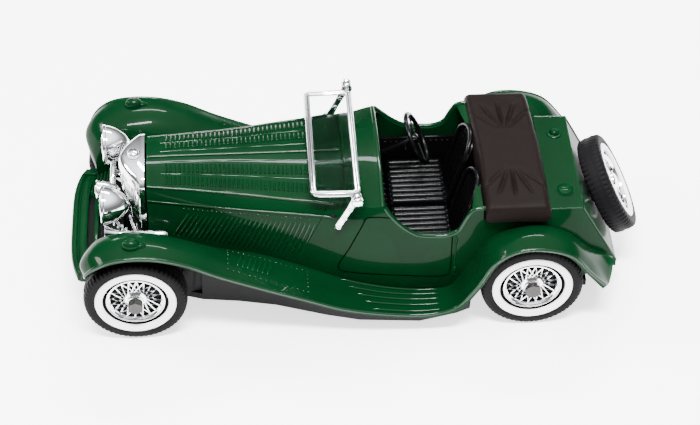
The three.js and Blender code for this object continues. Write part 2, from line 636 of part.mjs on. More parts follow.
function radiatorGrille() {
  const half = Y(RADIATOR.halfWidth) - RADIATOR.frame - FIT_GAP;
  const { bottom, shoulder, frame } = RADIATOR;
  const low = Z(bottom) + frame + FIT_GAP;
  const high = Z(shoulder) - 0.9 - FIT_GAP;
  const plan = (z, depth) => radiatorPlan(z, half, depth).map((p) => p.setX(p.x - 1.1 - FIT_GAP));
  return loft([plan(low, RADIATOR_DEPTH - 2.7), plan(Z(17), RADIATOR_DEPTH - 2), plan(high, RADIATOR_DEPTH - 1.5)]);
}

function radiatorCap() {
  const base = Z(RADIATOR.top) + 0.1;
  const profile = [[0, base], [1.1, base], [1.1, base + 0.35], [0.5, base + 0.6], [0, base + 0.7]];
  return turned(profile, 12).rotateX(Math.PI / 2).translate(X(RADIATOR.back) - 1.9, 0, 0);
}

const HEADLAMP = { x: -44.8, y: 7.9, z: 21.9 };
const DRIVING_LAMP = { x: -46.1, z: 18.1, radius: 1.8, depth: 4.2 };
const LAMP_BAR = { x: -43.4, radius: 0.5, reach: 6.6 };

// A round bowl about its own Y axis, open at the front where the lens sits; front at height zero.
function lampBowl(radius, depth) {
  const wall = 0.6;
  return turned([
    [0, depth - 2 * wall], [0.5 * radius, 0.62 * depth], [radius - wall, 0.9], [radius - wall, 0],
    [radius, 0], [radius, 0.5], [0.94 * radius, 0.3 * depth], [0.74 * radius, 0.6 * depth],
    [0.4 * radius, 0.88 * depth], [0, depth],
  ], 20);
}

function lampLens(radius) {
  const edge = radius - 0.6 - 0.15;
  return turned([[0, -0.35], [0.6 * edge, -0.2], [edge, 0.1], [edge, 0.6], [0, 0.6]], 20);
}

// Turns a piece made about Y so that its front looks forwards, towards the nose.
function facingForward(geometry) {
  return geometry.rotateZ(-Math.PI / 2);
}

function addHeadlamps() {
  const x = X(HEADLAMP.x);
  const z = Z(HEADLAMP.z);
  for (const { name, sign } of SIDES) {
    const y = sign * Y(HEADLAMP.y);
    add(`headlamp_${name}`, moved(facingForward(lampBowl(HEADLAMP_RADIUS, HEADLAMP_DEPTH)), x, y, z), 'chrome');
    add(`headlamp_lens_${name}`, moved(facingForward(lampLens(HEADLAMP_RADIUS)), x, y, z), 'clear');
  }
}

function lampBar() {
  const reach = Y(LAMP_BAR.reach);
  const x = X(LAMP_BAR.x);
  const z = Z(DRIVING_LAMP.z) - DRIVING_LAMP.radius - FIT_GAP - LAMP_BAR.radius;
  return rodY(x, z, -reach, reach, LAMP_BAR.radius, 10);
}

function addDrivingLamp() {
  const place = [X(DRIVING_LAMP.x), 0, Z(DRIVING_LAMP.z)];
  add('driving_lamp', moved(facingForward(lampBowl(DRIVING_LAMP.radius, DRIVING_LAMP.depth)), ...place), 'chrome');
  add('driving_lamp_lens', moved(facingForward(lampLens(DRIVING_LAMP.radius)), ...place), 'clear');
}

const HORN = {
  mouthX: -44.5, mouthY: 9.9, belowLamp: 1.35, tail: [-33.4, 10, 16.3],
  mouthRadius: 1.4, neckRadius: 0.45, bodyRadius: 0.8,
};

// A trumpet from its mouth, hung below the headlamp's bowl, back to its motor.
function horn() {
  const mouth = at(HORN.mouthX, HORN.mouthY, HEADLAMP.z).setZ(Z(HEADLAMP.z) - HEADLAMP_RADIUS - HORN.belowLamp);
  const along = at(...HORN.tail).sub(mouth);
  const length = along.length();
  const { mouthRadius, neckRadius, bodyRadius } = HORN;
  const trumpet = turned([
    [0, 0.5], [mouthRadius - 0.4, 0], [mouthRadius, 0], [mouthRadius * 0.75, 0.7], [neckRadius + 0.15, 2.4],
    [neckRadius, length - 3.4], [bodyRadius, length - 3], [bodyRadius, length - 0.2], [0, length],
  ], 12);
  const turn = new THREE.Quaternion().setFromUnitVectors(new THREE.Vector3(0, 1, 0), along.normalize());
  return trumpet.applyQuaternion(turn).translate(mouth.x, mouth.y, mouth.z);
}

function addHorns() {
  add('horn_right', horn(), 'chrome');
  add('horn_left', mirrored(horn()), 'chrome');
}

// ---------------------------------------------------------------- windscreen, folded flat
const PIVOT = { x: -0.85, z: 27.7, radius: 0.45 };
const SCREEN = { rearHalf: 13.8, frontHalf: 13.6, thickness: 0.9 };
const POST = { footX: -4.2, footY: 14.35, footZ: 20.4, eyeInner: 14.1, eyeOuter: 15.1, eyeRadius: 1 };

function screenOutline(inset) {
  const rear = X(PIVOT.x) + SCREEN_BAR / 2 - inset;
  const front = X(PIVOT.x) - SCREEN_HEIGHT + inset;
  const rearHalf = Y(SCREEN.rearHalf) - inset;
  const frontHalf = Y(SCREEN.frontHalf) - inset;
  const corners = [[rear, -rearHalf], [rear, rearHalf], [front, frontHalf], [front, -frontHalf]];
  return corners.map(([x, y]) => new THREE.Vector2(x, y));
}

function screenPlate(outline, hole, thickness) {
  const shape = new THREE.Shape(outline);
  if (hole) shape.holes.push(new THREE.Path(hole));
  const plate = new THREE.ExtrudeGeometry(shape, { depth: thickness, bevelEnabled: false });
  return moved(plate, 0, 0, Z(PIVOT.z) - thickness / 2);
}

function screenFrame() {
  const pieces = [screenPlate(screenOutline(0), screenOutline(SCREEN_BAR), SCREEN.thickness)];
  for (const { sign } of SIDES) {
    const from = sign * (Y(SCREEN.rearHalf) - 0.4);
    const to = sign * (Y(POST.eyeOuter) + 0.2);
    pieces.push(rodY(X(PIVOT.x), Z(PIVOT.z), from, to, PIVOT.radius, 12));
  }
  return join(pieces);
}

function screenPost() {
  const eye = rodY(X(PIVOT.x), Z(PIVOT.z), Y(POST.eyeInner), Y(POST.eyeOuter), POST.eyeRadius, 16);
  const foot = at(POST.footX, POST.footY, POST.footZ);
  const top = new THREE.Vector3(X(PIVOT.x) - 0.4, Y((POST.eyeInner + POST.eyeOuter) / 2), Z(PIVOT.z) - 0.6);
  const bar = rod(foot, top, 0.62, 0.55, 8);
  const bore = PIVOT.radius + RUNNING_CLEARANCE;
  return cut(join([eye, bar]), [rodY(X(PIVOT.x), Z(PIVOT.z), Y(13), Y(16), bore, 12)]);
}

function addWindscreen() {
  add('windscreen_frame', screenFrame(), 'chrome');
  const inset = SCREEN_BAR + 0.1;
  add('windscreen_pane', screenPlate(screenOutline(inset), null, 0.4), 'clear');
  const post = geometryOf(screenPost());
  const from = Y(POST.eyeOuter) + 0.3;
  const nut = rodY(X(PIVOT.x), Z(PIVOT.z), from, from + 0.6, 0.95, 12);
  add('windscreen_post_right', post, 'chrome');
  add('windscreen_post_left', mirrored(post), 'chrome');
  add('windscreen_nut_right', nut, 'chrome');
  add('windscreen_nut_left', mirrored(nut), 'chrome');
}

// ---------------------------------------------------------------- interior
const SEAT = { front: 6.4, inner: 0.5, outer: 12.1, bottom: 9.1, top: 12.3, backTop: 24.3, backHalf: 4.3, backY: 5.9 };
const SEAT_LEAN = 0.24;
const SEAT_TO_HOOD = 0.68;
const CUSHION_TO_BACK = 0.7;
const TUB = { front: 4.4, rear: 20.9, halfWidth: 13.2, bottom: 7.6, floor: 8.8, wallTop: 16.9, wall: 0.6 };

function interiorTub() {
  const half = Y(TUB.halfWidth) - 0.1;
  const [front, rear] = [X(TUB.front), X(TUB.rear)];
  const pieces = [block([front, -half, Z(TUB.bottom)], [rear, half, Z(TUB.floor)])];
  pieces.push(block([rear - TUB.wall, -half, Z(TUB.bottom)], [rear, half, Z(TUB.wallTop)]));
  for (const { sign } of SIDES) {
    const [low, high] = sign < 0 ? [-half, TUB.wall - half] : [half - TUB.wall, half];
    pieces.push(block([front, low, Z(TUB.bottom)], [rear, high, Z(TUB.wallTop)]));
  }
  return join(pieces);
}

// One bucket seat: an arched back whose top leans towards the hood, and a cushion that meets its foot.
function seat() {
  const { front, inner, outer, bottom, top, backTop } = SEAT;
  const half = Y(SEAT.backHalf);
  const height = Z(backTop) - Z(bottom) - 0.6;
  const foot = X(HOOD_FRONT) - SEAT_TO_HOOD - height * Math.sin(SEAT_LEAN);
  const cushion = block([X(front), Y(inner), Z(bottom)], [foot - CUSHION_TO_BACK, Y(outer), Z(top)]);
  const arch = new THREE.Shape();
  arch.moveTo(-half, 0);
  arch.lineTo(half, 0);
  arch.lineTo(half, height - half * 0.8);
  arch.absellipse(0, height - half * 0.8, half, half * 0.8, 0, Math.PI, false);
  const back = new THREE.ExtrudeGeometry(arch, { depth: 1.4, bevelEnabled: false, curveSegments: 8 });
  back.rotateX(Math.PI / 2).rotateZ(-Math.PI / 2).rotateY(SEAT_LEAN);
  return join([cushion, moved(back, foot, Y(SEAT.backY), Z(bottom) + 0.4)]);
}

function dashboard() {
  const inset = BODY_WALL + 1.5 * FIT_GAP;
  return bodyLoft([2.2, 3.3], inset, 17);
}

const STEERING = { x: 11.4, y: 7, z: 21.6, tilt: THREE.MathUtils.degToRad(26) };

function steeringAxis() {
  return new THREE.Vector3(Math.cos(STEERING.tilt), 0, Math.sin(STEERING.tilt));
}

function steeringWheel() {
  const rim = new THREE.TorusGeometry(STEERING_WHEEL_RADIUS, 0.42, 6, 24).rotateX(Math.PI / 2);
  const hub = turned([[0, -0.5], [0.8, -0.5], [0.8, 0.3], [0, 0.5]], 10);
  const pieces = [rim, hub];
  for (let i = 0; i < 4; i += 1) {
    const angle = Math.PI / 4 + (i * Math.PI) / 2;
    const head = new THREE.Vector3(Math.cos(angle), 0, Math.sin(angle)).multiplyScalar(STEERING_WHEEL_RADIUS);
    pieces.push(rod(new THREE.Vector3(0, 0, 0), head, 0.2, 0.2, 4));
  }
  const wheel = geometryOf(join(pieces));
  return wheel.rotateZ(-Math.PI / 2).rotateY(-STEERING.tilt);
}

function addSteering() {
  const centre = at(STEERING.x, STEERING.y, STEERING.z);
  const mesh = add('steering_wheel', steeringWheel(), 'black');
  mesh.position.copy(centre);
  const top = centre.clone().addScaledVector(steeringAxis(), -0.5 - FIT_GAP);
  const run = (top.x - X(3.3) - FIT_GAP) / Math.cos(STEERING.tilt);
  const foot = top.clone().addScaledVector(steeringAxis(), -run);
  add('steering_column', rod(foot, top, 0.45, 0.45, 10), 'black');
}

// ---------------------------------------------------------------- hood and filler caps
// The folded hood sits on its seat and turns down over both flanks of the body.
function hood() {
  const half = Y(15.6);
  const skirt = 0.7;
  const seatZ = Z(HOOD_SEAT_Z) + FIT_GAP;
  const lift = HOOD_TOP - DRAWN.hoodTop;
  const section = (x, skirtZ, crown, edge) => {
    const top = Z(edge) + lift;
    const side = [
      [half - skirt, seatZ], [half - skirt, Z(skirtZ)], [half, Z(skirtZ)], [half, top - 0.6],
      [half - 0.5, top], [half * 0.5, Z(crown) + lift], [0, Z(crown) + lift],
    ];
    const other = side.slice(0, -1).reverse().map(([y, z]) => [-y, z]);
    return [...side, ...other].map(([y, z]) => new THREE.Vector3(X(x), y, z));
  };
  return loft([
    section(HOOD_FRONT, 21.7, 24.6, 24.5), section(HOOD_FRONT + 0.9, 21.2, 25.4, 25.2), section(27, 21.2, 25.4, 25.3),
    section(HOOD_REAR - 1.2, 22, 25.2, 25), section(HOOD_REAR, 22.6, 24, 23.8),
  ]);
}

const FILLER = { x: 36.4, y: 7.4, radius: 1.4, height: 0.7 };

function fillerCap() {
  const base = Z(21.4) + FIT_GAP;
  const { radius, height } = FILLER;
  const profile = [[0, 0], [radius, 0], [radius, 0.3], [radius - 0.4, height - 0.1], [0, height]];
  return turned(profile, 16).rotateX(Math.PI / 2).translate(X(FILLER.x), Y(FILLER.y), base);
}

// ---------------------------------------------------------------- the car
add('body_casting', bodyCasting(), 'green');
add('wing_casting', wingCasting(), 'green');
add('baseplate', baseplate(), 'black');
add('front_rivet', rivet(RIVET_XS[0]), 'steel');
add('rear_rivet', rivet(RIVET_XS[1]), 'steel');
addWheels();
addSpare();
add('radiator_shell', radiatorShell(), 'chrome');
add('radiator_grille', radiatorGrille(), 'steel');
add('radiator_cap', radiatorCap(), 'chrome');
addHeadlamps();
add('lamp_bar', lampBar(), 'chrome');
addDrivingLamp();
addHorns();
addWindscreen();
add('interior_tub', interiorTub(), 'black');
const rightSeat = geometryOf(seat());
add('seat_right', rightSeat, 'black');
add('seat_left', mirrored(rightSeat), 'black');
add('dashboard', dashboard(), 'black');
addSteering();
add('hood', hood(), 'hood');
add('filler_cap_right', fillerCap(), 'green');
add('filler_cap_left', mirrored(fillerCap()), 'green');

export default car;
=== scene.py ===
"""A diecast open two-seat roadster: gloss green castings, bright plating, wire wheels, a black
moulded cockpit and a folded hood. Sizes in the code are millimetres and are turned to metres
where a mesh is made. The nose points to -X, the car's right-hand side is +Y."""
import math

import bmesh
import bpy
from mathutils import Matrix, Vector


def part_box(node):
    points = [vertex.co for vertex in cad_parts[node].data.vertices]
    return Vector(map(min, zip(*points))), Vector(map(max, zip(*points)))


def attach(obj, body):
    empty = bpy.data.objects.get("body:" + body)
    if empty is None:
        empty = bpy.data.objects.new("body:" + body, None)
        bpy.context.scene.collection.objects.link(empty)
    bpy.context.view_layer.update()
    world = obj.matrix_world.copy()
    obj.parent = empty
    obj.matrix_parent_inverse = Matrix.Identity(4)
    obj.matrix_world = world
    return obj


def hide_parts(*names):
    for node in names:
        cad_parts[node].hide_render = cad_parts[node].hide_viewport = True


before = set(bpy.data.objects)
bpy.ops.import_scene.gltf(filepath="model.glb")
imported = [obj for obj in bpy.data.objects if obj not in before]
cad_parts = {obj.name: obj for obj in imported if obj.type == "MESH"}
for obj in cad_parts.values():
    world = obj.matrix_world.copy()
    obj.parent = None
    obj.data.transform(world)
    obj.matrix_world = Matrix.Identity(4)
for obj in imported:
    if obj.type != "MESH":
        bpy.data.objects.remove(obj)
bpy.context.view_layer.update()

bl_info = {
    "name": "Diecast Roadster",
    "version": (1, 0, 0),
    "blender": (4, 5, 0),
    "location": "3D View > Sidebar > Roadster",
    "description": "Builds a diecast open roadster around its solid parts",
    "category": "Object",
}

MM = 0.001


# ------------------------------------------------------------------ sizes and colours
def length(name, description, size_mm):
    return bpy.props.FloatProperty(
        name=name, description=description, default=size_mm * MM, unit="LENGTH")


def count(name, description, default, least):
    return bpy.props.IntProperty(name=name, description=description, default=default, min=least)


def colour(name, description, *rgb):
    return bpy.props.FloatVectorProperty(
        name=name, description=description, size=4, subtype="COLOR", default=(*rgb, 1), min=0, max=1)


class RoadsterSizes(bpy.types.PropertyGroup):
    groove: length("Shut line", "Width of the cast grooves round the doors and bonnet", 0.24)
    louvre_pitch: length("Louvre pitch", "Distance between two louvres on the bonnet", 0.78)
    louvre_height: length("Louvre height", "How far the bonnet louvres stand up", 0.4)
    rivet_radius: length("Rivet radius", "Radius of the small cast rivet heads", 0.2)
    wires: count("Wires", "Wires in each of the two layers of a wheel", 20, 8)
    wire_radius: length("Wire radius", "Radius of a wheel wire", 0.13)
    tread_blocks: count("Tread blocks", "Blocks round the edge of a tyre", 60, 12)
    pleats: count("Pleats", "Pleats across one seat cushion", 9, 3)


class RoadsterColours(bpy.types.PropertyGroup):
    paint: colour("Paint", "Body enamel", 0.0003, 0.0088, 0.0023)
    # A paler green: used for the random tone of the enamel, and as a painted highlight along sharp edges.
    paint_pale_and_highlight: colour("Paint, pale and highlight", "Paler enamel, also painted over sharp edges as a highlight", 0.001, 0.0235, 0.0062)
    plating: colour("Plating", "Bright plated parts", 0.97, 0.97, 0.98)
    moulding: colour("Interior", "Black interior moulding", 0.0008, 0.0008, 0.0009)
    hood: colour("Hood", "Folded hood", 0.0022, 0.0012, 0.001)
    rubber: colour("Tyre", "Tyre moulding", 0.0014, 0.0012, 0.0014)
    ring: colour("White ring", "White ring on the tyres", 0.86, 0.86, 0.86)
    floor: colour("Floor", "Studio floor", 0.93, 0.93, 0.94)


def sizes():
    return bpy.context.scene.roadster_sizes


def colours():
    return bpy.context.scene.roadster_colours


# ------------------------------------------------------------------ shader maths
class Value:
    """A shader socket that can be used in arithmetic."""

    def __init__(self, finish, socket):
        self.finish, self.socket = finish, socket

    def maths(self, operation, *others):
        inputs = dict(enumerate((self, *others)))
        return self.finish.node("ShaderNodeMath", {"operation": operation}, inputs)

    def __add__(self, other):
        return self.maths("ADD", other)

    def __sub__(self, other):
        return self.maths("SUBTRACT", other)

    def __rsub__(self, other):
        return self.finish.node("ShaderNodeMath", {"operation": "SUBTRACT"}, {0: other, 1: self})

    def __mul__(self, other):
        return self.maths("MULTIPLY", other)

    def clamped(self):
        return self.finish.node("ShaderNodeClamp", {}, {"Value": self})

    __radd__ = __add__
    __rmul__ = __mul__


class Finish:
    """A material under construction."""

    def __init__(self, name):
        self.material = bpy.data.materials.new(name)
        self.material.use_nodes = True
        self.tree = self.material.node_tree
        self.tree.nodes.clear()
        self.surface = self.tree.nodes.new("ShaderNodeBsdfPrincipled")
        output = self.tree.nodes.new("ShaderNodeOutputMaterial")
        self.tree.links.new(self.surface.outputs[0], output.inputs["Surface"])
        self.place = self.node("ShaderNodeTexCoord", {}, {}, "Object")

    def node(self, kind, settings, inputs, output=0):
        made = self.tree.nodes.new(kind)
        for name, value in settings.items():
            if name == "stops":
                for _ in range(len(value) - len(made.color_ramp.elements)):
                    made.color_ramp.elements.new(0.5)
                for stop, (position, colour) in zip(made.color_ramp.elements, value):
                    stop.position, stop.color = position, colour
            else:
                setattr(made, name, value)
        self.feed(made, inputs)
        return Value(self, made.outputs[output])

    def feed(self, made, inputs):
        for name, value in inputs.items():
            if isinstance(value, Value):
                self.tree.links.new(value.socket, made.inputs[name])
            else:
                made.inputs[name].default_value = value

    def shader(self, **inputs):
        self.feed(self.surface, {name.replace("_", " "): value for name, value in inputs.items()})
        return self.material

    def noise(self, size_mm, detail=3.0, roughness=0.5, stretch=(1, 1, 1)):
        place = self.node("ShaderNodeMapping", {}, {"Vector": self.place, "Scale": stretch})
        inputs = {"Vector": place, "Scale": 1000 / size_mm, "Detail": detail, "Roughness": roughness}
        return self.node("ShaderNodeTexNoise", {}, inputs, "Fac")

    def cells(self, size_mm):
        inputs = {"Vector": self.place, "Scale": 1000 / size_mm}
        return self.node("ShaderNodeTexVoronoi", {"feature": "F1"}, inputs, "Distance")

    def mixed(self, factor, first, second):
        inputs = {0: factor, 6: first, 7: second}
        return self.node("ShaderNodeMix", {"data_type": "RGBA"}, inputs, 2)

    def bump(self, height, strength, depth_mm):
        inputs = {"Strength": strength, "Distance": depth_mm * MM, "Height": height}
        return self.node("ShaderNodeBump", {}, inputs)


def tint(name, factor=1.0):
    """One of the panel's colours, made lighter or darker."""
    red, green, blue, _ = getattr(colours(), name)
    return (red * factor, green * factor, blue * factor, 1.0)


def enamel(name, lacquer):
    """Deep gloss enamel: slightly uneven thickness, a faint orange peel, a few dust nibs, and sharp edges
    turned paler, partly as thinner enamel and partly as a painted highlight.
    """
    finish = Finish(name)
    cloud = finish.noise(9, 2)
    peel = finish.noise(0.9, 1)
    nibs = (1 - finish.cells(4.2) * 9).clamped()
    # Sharp convex edges turn to the paler green. This is thinner enamel there, and also a painted highlight
    # standing in for the glint along creases and rims.
    thinner_enamel_and_highlight = finish.node("ShaderNodeNewGeometry", {}, {}, "Pointiness")
    edge = ((thinner_enamel_and_highlight - 0.53) * 7).clamped()
    base = finish.mixed(cloud * 0.5 + edge * 0.6, tint("paint"), tint("paint_pale_and_highlight"))
    rough = 0.24 + cloud * 0.08 + nibs * 0.2
    return finish.shader(
        Base_Color=base, Roughness=rough, Normal=finish.bump(peel * 0.6 + nibs * 0.5, 0.12, 0.03),
        Coat_Weight=lacquer, Coat_Roughness=0.03, Coat_IOR=1.6, Specular_IOR_Level=0.01)


def plating(name, level, smoke):
    """Vacuum plating over a moulding: bright, with soft cloudy haze and fine flow ripples."""
    finish = Finish(name)
    haze = finish.noise(2.2, 3)
    ripple = finish.noise(0.8, 2)
    tone = finish.mixed(haze, tint("plating", level), tint("plating", level * 0.86))
    return finish.shader(
        Base_Color=tone, Metallic=1.0, Roughness=smoke * 0.3 + haze * smoke,
        Normal=finish.bump(ripple, 0.25, 0.02))


def moulding(name, gloss):
    """Black styrene moulding with a light polish and scuffs."""
    finish = Finish(name)
    scuff = finish.noise(1.6, 5, 0.7, (1, 2.5, 1))
    grain = finish.noise(0.35, 2)
    base = finish.mixed(scuff * 0.55, tint("moulding"), tint("moulding", 3))
    return finish.shader(
        Base_Color=base, Roughness=gloss + scuff * 0.16, Normal=finish.bump(grain, 0.1, 0.03),
        Specular_IOR_Level=0.09)


def leatherette(name):
    """Matt brown-black hood moulding with a pebbled grain and paler rubbed ridges."""
    finish = Finish(name)
    pebble = finish.cells(0.42)
    cloud = finish.noise(7, 4)
    base = finish.mixed(cloud * 0.7 + pebble * 0.3, tint("hood"), tint("hood", 2.1))
    return finish.shader(
        Base_Color=base, Roughness=0.5 + cloud * 0.18, Specular_IOR_Level=0.05,
        Normal=finish.bump(pebble + cloud * 0.4, 0.28, 0.05))


def tyre_rubber(name):
    """Satin rubber with a fine grain and a pale bloom."""
    finish = Finish(name)
    grain = finish.noise(0.3, 4, 0.7)
    bloom = finish.noise(3.5, 3)
    base = finish.mixed(bloom, tint("rubber"), tint("rubber", 2))
    return finish.shader(
        Base_Color=base, Roughness=0.55 + bloom * 0.2, Specular_IOR_Level=0.06,
        Normal=finish.bump(grain, 0.3, 0.04))


def white_print(name):
    """White print, slightly specked."""
    finish = Finish(name)
    speck = finish.noise(1.2, 4)
    base = finish.mixed((speck - 0.5) * 0.6, tint("ring"), tint("ring", 0.86))
    return finish.shader(
        Base_Color=base, Roughness=0.32 + speck * 0.12, Normal=finish.bump(speck, 0.06, 0.02))


def clear_moulding(name, ribbed):
    """Clear styrene, either ribbed like a lamp's lens or nearly flat."""
    finish = Finish(name)
    waves = finish.node(
        "ShaderNodeTexWave", {"bands_direction": "Y"},
        {"Vector": finish.place, "Scale": 260 if ribbed else 20, "Distortion": 0.2}, "Fac")
    haze = finish.noise(3, 3)
    return finish.shader(
        Base_Color=(0.96, 0.98, 0.98, 1), Roughness=0.03 + haze * 0.04, IOR=1.45 if ribbed else 1.02,
        Transmission_Weight=1.0, Normal=finish.bump(waves, 0.4 if ribbed else 0.01, 0.05))


def drawn_steel(name):
    """Dull steel with drawing marks along it."""
    finish = Finish(name)
    streak = finish.noise(0.5, 3, 0.6, (4, 0.3, 4))
    base = finish.mixed(streak, (0.018, 0.0175, 0.017, 1), (0.075, 0.072, 0.07, 1))
    return finish.shader(
        Base_Color=base, Metallic=1.0, Roughness=0.28 + streak * 0.2,
        Normal=finish.bump(streak, 0.2, 0.02))


def painted_shade_finish(name):
    """Painted shade: a faintly mottled near-black standing in for the dark inside an opening."""
    finish = Finish(name)
    shade_mottle = finish.noise(1.1, 3)
    base = finish.mixed(shade_mottle, (0.0008, 0.001, 0.0009, 1), (0.003, 0.0035, 0.0032, 1))
    return finish.shader(Base_Color=base, Roughness=0.5 + shade_mottle * 0.2, Specular_IOR_Level=0.08)


FINISHES = {}


def make_finishes():
    FINISHES.update({
        "green_paint": enamel("Green enamel", 0.07),
        "raised_paint": enamel("Green enamel on raised edges", 0.3),
        "bright_plating": plating("Bright plating", 1.0, 0.09),
        "grille_plating": plating("Grille plating", 0.85, 0.16),
        "wheel_plating": plating("Wheel plating", 1.0, 0.12),
        "axle_steel": drawn_steel("Drawn steel"),
        "tyre_rubber": tyre_rubber("Tyre rubber"),
        "whitewall_white": white_print("White ring"),
        "lamp_lens": clear_moulding("Ribbed lens", True),
        "screen_clear": clear_moulding("Clear pane", False),
        "interior_moulding": moulding("Interior moulding", 0.2),
        "control_moulding": moulding("Control moulding", 0.14),
        "baseplate_black": moulding("Baseplate moulding", 0.4),
        "hood_moulding": leatherette("Hood moulding"),
        # Near-black painted shade, put inside openings and gaps.
        "painted_shade": painted_shade_finish("Painted shade"),
    })


# ------------------------------------------------------------------ mesh helpers
def round_y(radius, height, angle):
    """A point at an angle round the local Y axis."""
    return Vector((radius * math.cos(angle), height, radius * math.sin(angle)))


def symmetric(x, half):
    """A whole section at x from its right-hand half, given as (y, z) pairs."""
    return [Vector((x, y, z)) for y, z in half] + [Vector((x, -y, z)) for y, z in half[-2::-1]]


class Shape:
    """Closed surfaces gathered in millimetres before they become one mesh."""

    def __init__(self):
        self.points, self.faces = [], []

    def add(self, points, faces):
        start = len(self.points)
        self.points.extend(Vector(p) for p in points)
        self.faces.extend(tuple(i + start for i in face) for face in faces)
        return self

    def merge(self, other, matrix=None):
        matrix = matrix or Matrix.Identity(4)
        return self.add([matrix @ p for p in other.points], other.faces)

    def mirrored(self):
        return Shape().add([(p.x, -p.y, p.z) for p in self.points], [f[::-1] for f in self.faces])

    def both_sides(self):
        return Shape().merge(self).merge(self.mirrored())

    def loft(self, sections, ring=False, caps=True):
        """Joins sections, each a loop of as many points, into one skin."""
        count, rows = len(sections[0]), len(sections)
        faces = []
        for s in range(rows if ring else rows - 1):
            for i in range(count):
                a, b = s * count, ((s + 1) % rows) * count
                j = (i + 1) % count
                faces.append((a + i, a + j, b + j, b + i))
        if caps and not ring:
            faces.append(tuple(range(count))[::-1])
            faces.append(tuple((rows - 1) * count + i for i in range(count)))
        return self.add([p for section in sections for p in section], faces)

    def turned(self, profile, sides, matrix=None, ripple=None):
        """A closed profile of (radius, height) pairs turned about the local Y axis."""
        matrix = matrix or Matrix.Identity(4)
        sections = []
        for k in range(sides):
            angle = 2 * math.pi * k / sides
            section = []
            for n, (radius, height) in enumerate(profile):
                radius = max(radius + (ripple(k, n) if ripple else 0), 0.001)
                section.append(matrix @ round_y(radius, height, angle))
            sections.append(section)
        return self.loft(sections, ring=True)

    def tube(self, path, radius, sides=8, closed=False, flat=1.0, up=(0, 0, 1)):
        """A round bar along a path; flat squeezes it along up."""
        path = [Vector(p) for p in path]
        radii = radius if isinstance(radius, (list, tuple)) else [radius] * len(path)
        sections = []
        for i, point in enumerate(path):
            if closed:
                along = path[(i + 1) % len(path)] - path[i - 1]
            else:
                along = path[min(i + 1, len(path) - 1)] - path[max(i - 1, 0)]
            along.normalize()
            lift = Vector(up) - along * along.dot(Vector(up))
            if lift.length < 0.05:
                lift = along.orthogonal()
            lift.normalize()
            side = along.cross(lift)
            sections.append([
                point + side * radii[i] * math.cos(2 * math.pi * k / sides)
                + lift * radii[i] * flat * math.sin(2 * math.pi * k / sides)
                for k in range(sides)])
        return self.loft(sections, ring=closed)

    def capsule(self, start, end, radius, height, up=(0, 0, 1), sides=8, steps=3):
        """A rounded bar between two points: a rib, a pleat or a louvre."""
        start, end = Vector(start), Vector(end)
        along = (end - start).normalized()
        reach = min(radius, (end - start).length / 2)
        path, radii = [], []
        for tip, inward, order in ((start, along, range(steps + 1)), (end, -along, range(steps, -1, -1))):
            for k in order:
                turn = math.pi / 2 * k / steps
                path.append(tip + inward * reach * (1 - math.cos(turn)))
                radii.append(max(radius * math.sin(turn), 0.01 * radius))
        return self.tube(path, radii, sides, flat=height / radius, up=up)

    def dome(self, centre, radii, rings=6, sides=14):
        """An ellipsoid, mostly sunk in the surface it stands on."""
        centre, sections = Vector(centre), []
        for k in range(rings + 1):
            turn = math.pi * k / rings
            ring = max(math.sin(turn), 0.02)
            sections.append([
                centre + Vector((radii[0] * ring * math.cos(2 * math.pi * i / sides),
                                 radii[1] * ring * math.sin(2 * math.pi * i / sides),
                                 radii[2] * math.cos(turn)))
                for i in range(sides)])
        return self.loft(sections)

    def slab(self, low, high):
        """A plain block, used as a core or a cutter."""
        corners = ((low[0], low[1]), (high[0], low[1]), (high[0], high[1]), (low[0], high[1]))
        return self.loft([[Vector((x, y, z)) for x, y in corners] for z in (low[2], high[2])])

    def across(self, outline, *stations):
        """An outline of (x, z) pairs run across the car through the given y stations."""
        return self.loft([[Vector((x, y, z)) for x, z in outline] for y in stations])

    def mesh(self, name):
        made = bpy.data.meshes.new(name)
        made.from_pydata([p * MM for p in self.points], [], self.faces)
        tidy = bmesh.new()
        tidy.from_mesh(made)
        bmesh.ops.recalc_face_normals(tidy, faces=tidy.faces)
        tidy.to_mesh(made)
        tidy.free()
        made.validate()
        return made


def loose_object(name, shape):
    piece = bpy.data.objects.new(name, shape.mesh(name))
    bpy.context.scene.collection.objects.link(piece)
    return piece


def apply_modifiers(piece):
    bpy.context.view_layer.update()
    shaped = piece.evaluated_get(bpy.context.evaluated_depsgraph_get())
    mesh = bpy.data.meshes.new_from_object(shaped)
    piece.modifiers.clear()
    piece.data = mesh


def carve(piece, cutters):
    """Takes each cutter shape out of the piece."""
    for number, cutter in enumerate(cutters):
        tool = loose_object(f"cutter_{number}", cutter)
        step = piece.modifiers.new("cut", "BOOLEAN")
        step.object, step.operation, step.solver = tool, "DIFFERENCE", "EXACT"
        apply_modifiers(piece)
        bpy.data.objects.remove(tool)


def rounded_edges(piece, width_mm, angle=35, segments=2):
    step = piece.modifiers.new("edges", "BEVEL")
    step.width, step.segments = width_mm * MM, segments
    step.limit_method, step.angle_limit = "ANGLE", math.radians(angle)
    step.use_clamp_overlap = True
    apply_modifiers(piece)


def present(piece, slot, body="car", nodes=(), smooth=40, finish=None):
    """Gives a piece its finish, its smooth shading and its place in the frame."""
    piece.data.materials.clear()
    piece.data.materials.append(FINISHES[finish or slot])
    for face in piece.data.polygons:
        face.material_index = 0
    piece.data.shade_smooth()
    piece.data.set_sharp_from_angle(angle=math.radians(smooth))
    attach(piece, body)
    if nodes:
        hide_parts(*nodes)
    return piece


def piece_of(name, shape, slot, body="car", nodes=(), smooth=40, edges=0.0, finish=None):
    piece = loose_object(name, shape)
    if edges:
        rounded_edges(piece, edges)
    return present(piece, slot, body, nodes, smooth, finish)


def raised(name, shape):
    """A piece of cast green detail whose edges catch the light."""
    return piece_of(name, shape, "green_paint", smooth=60, finish="raised_paint")


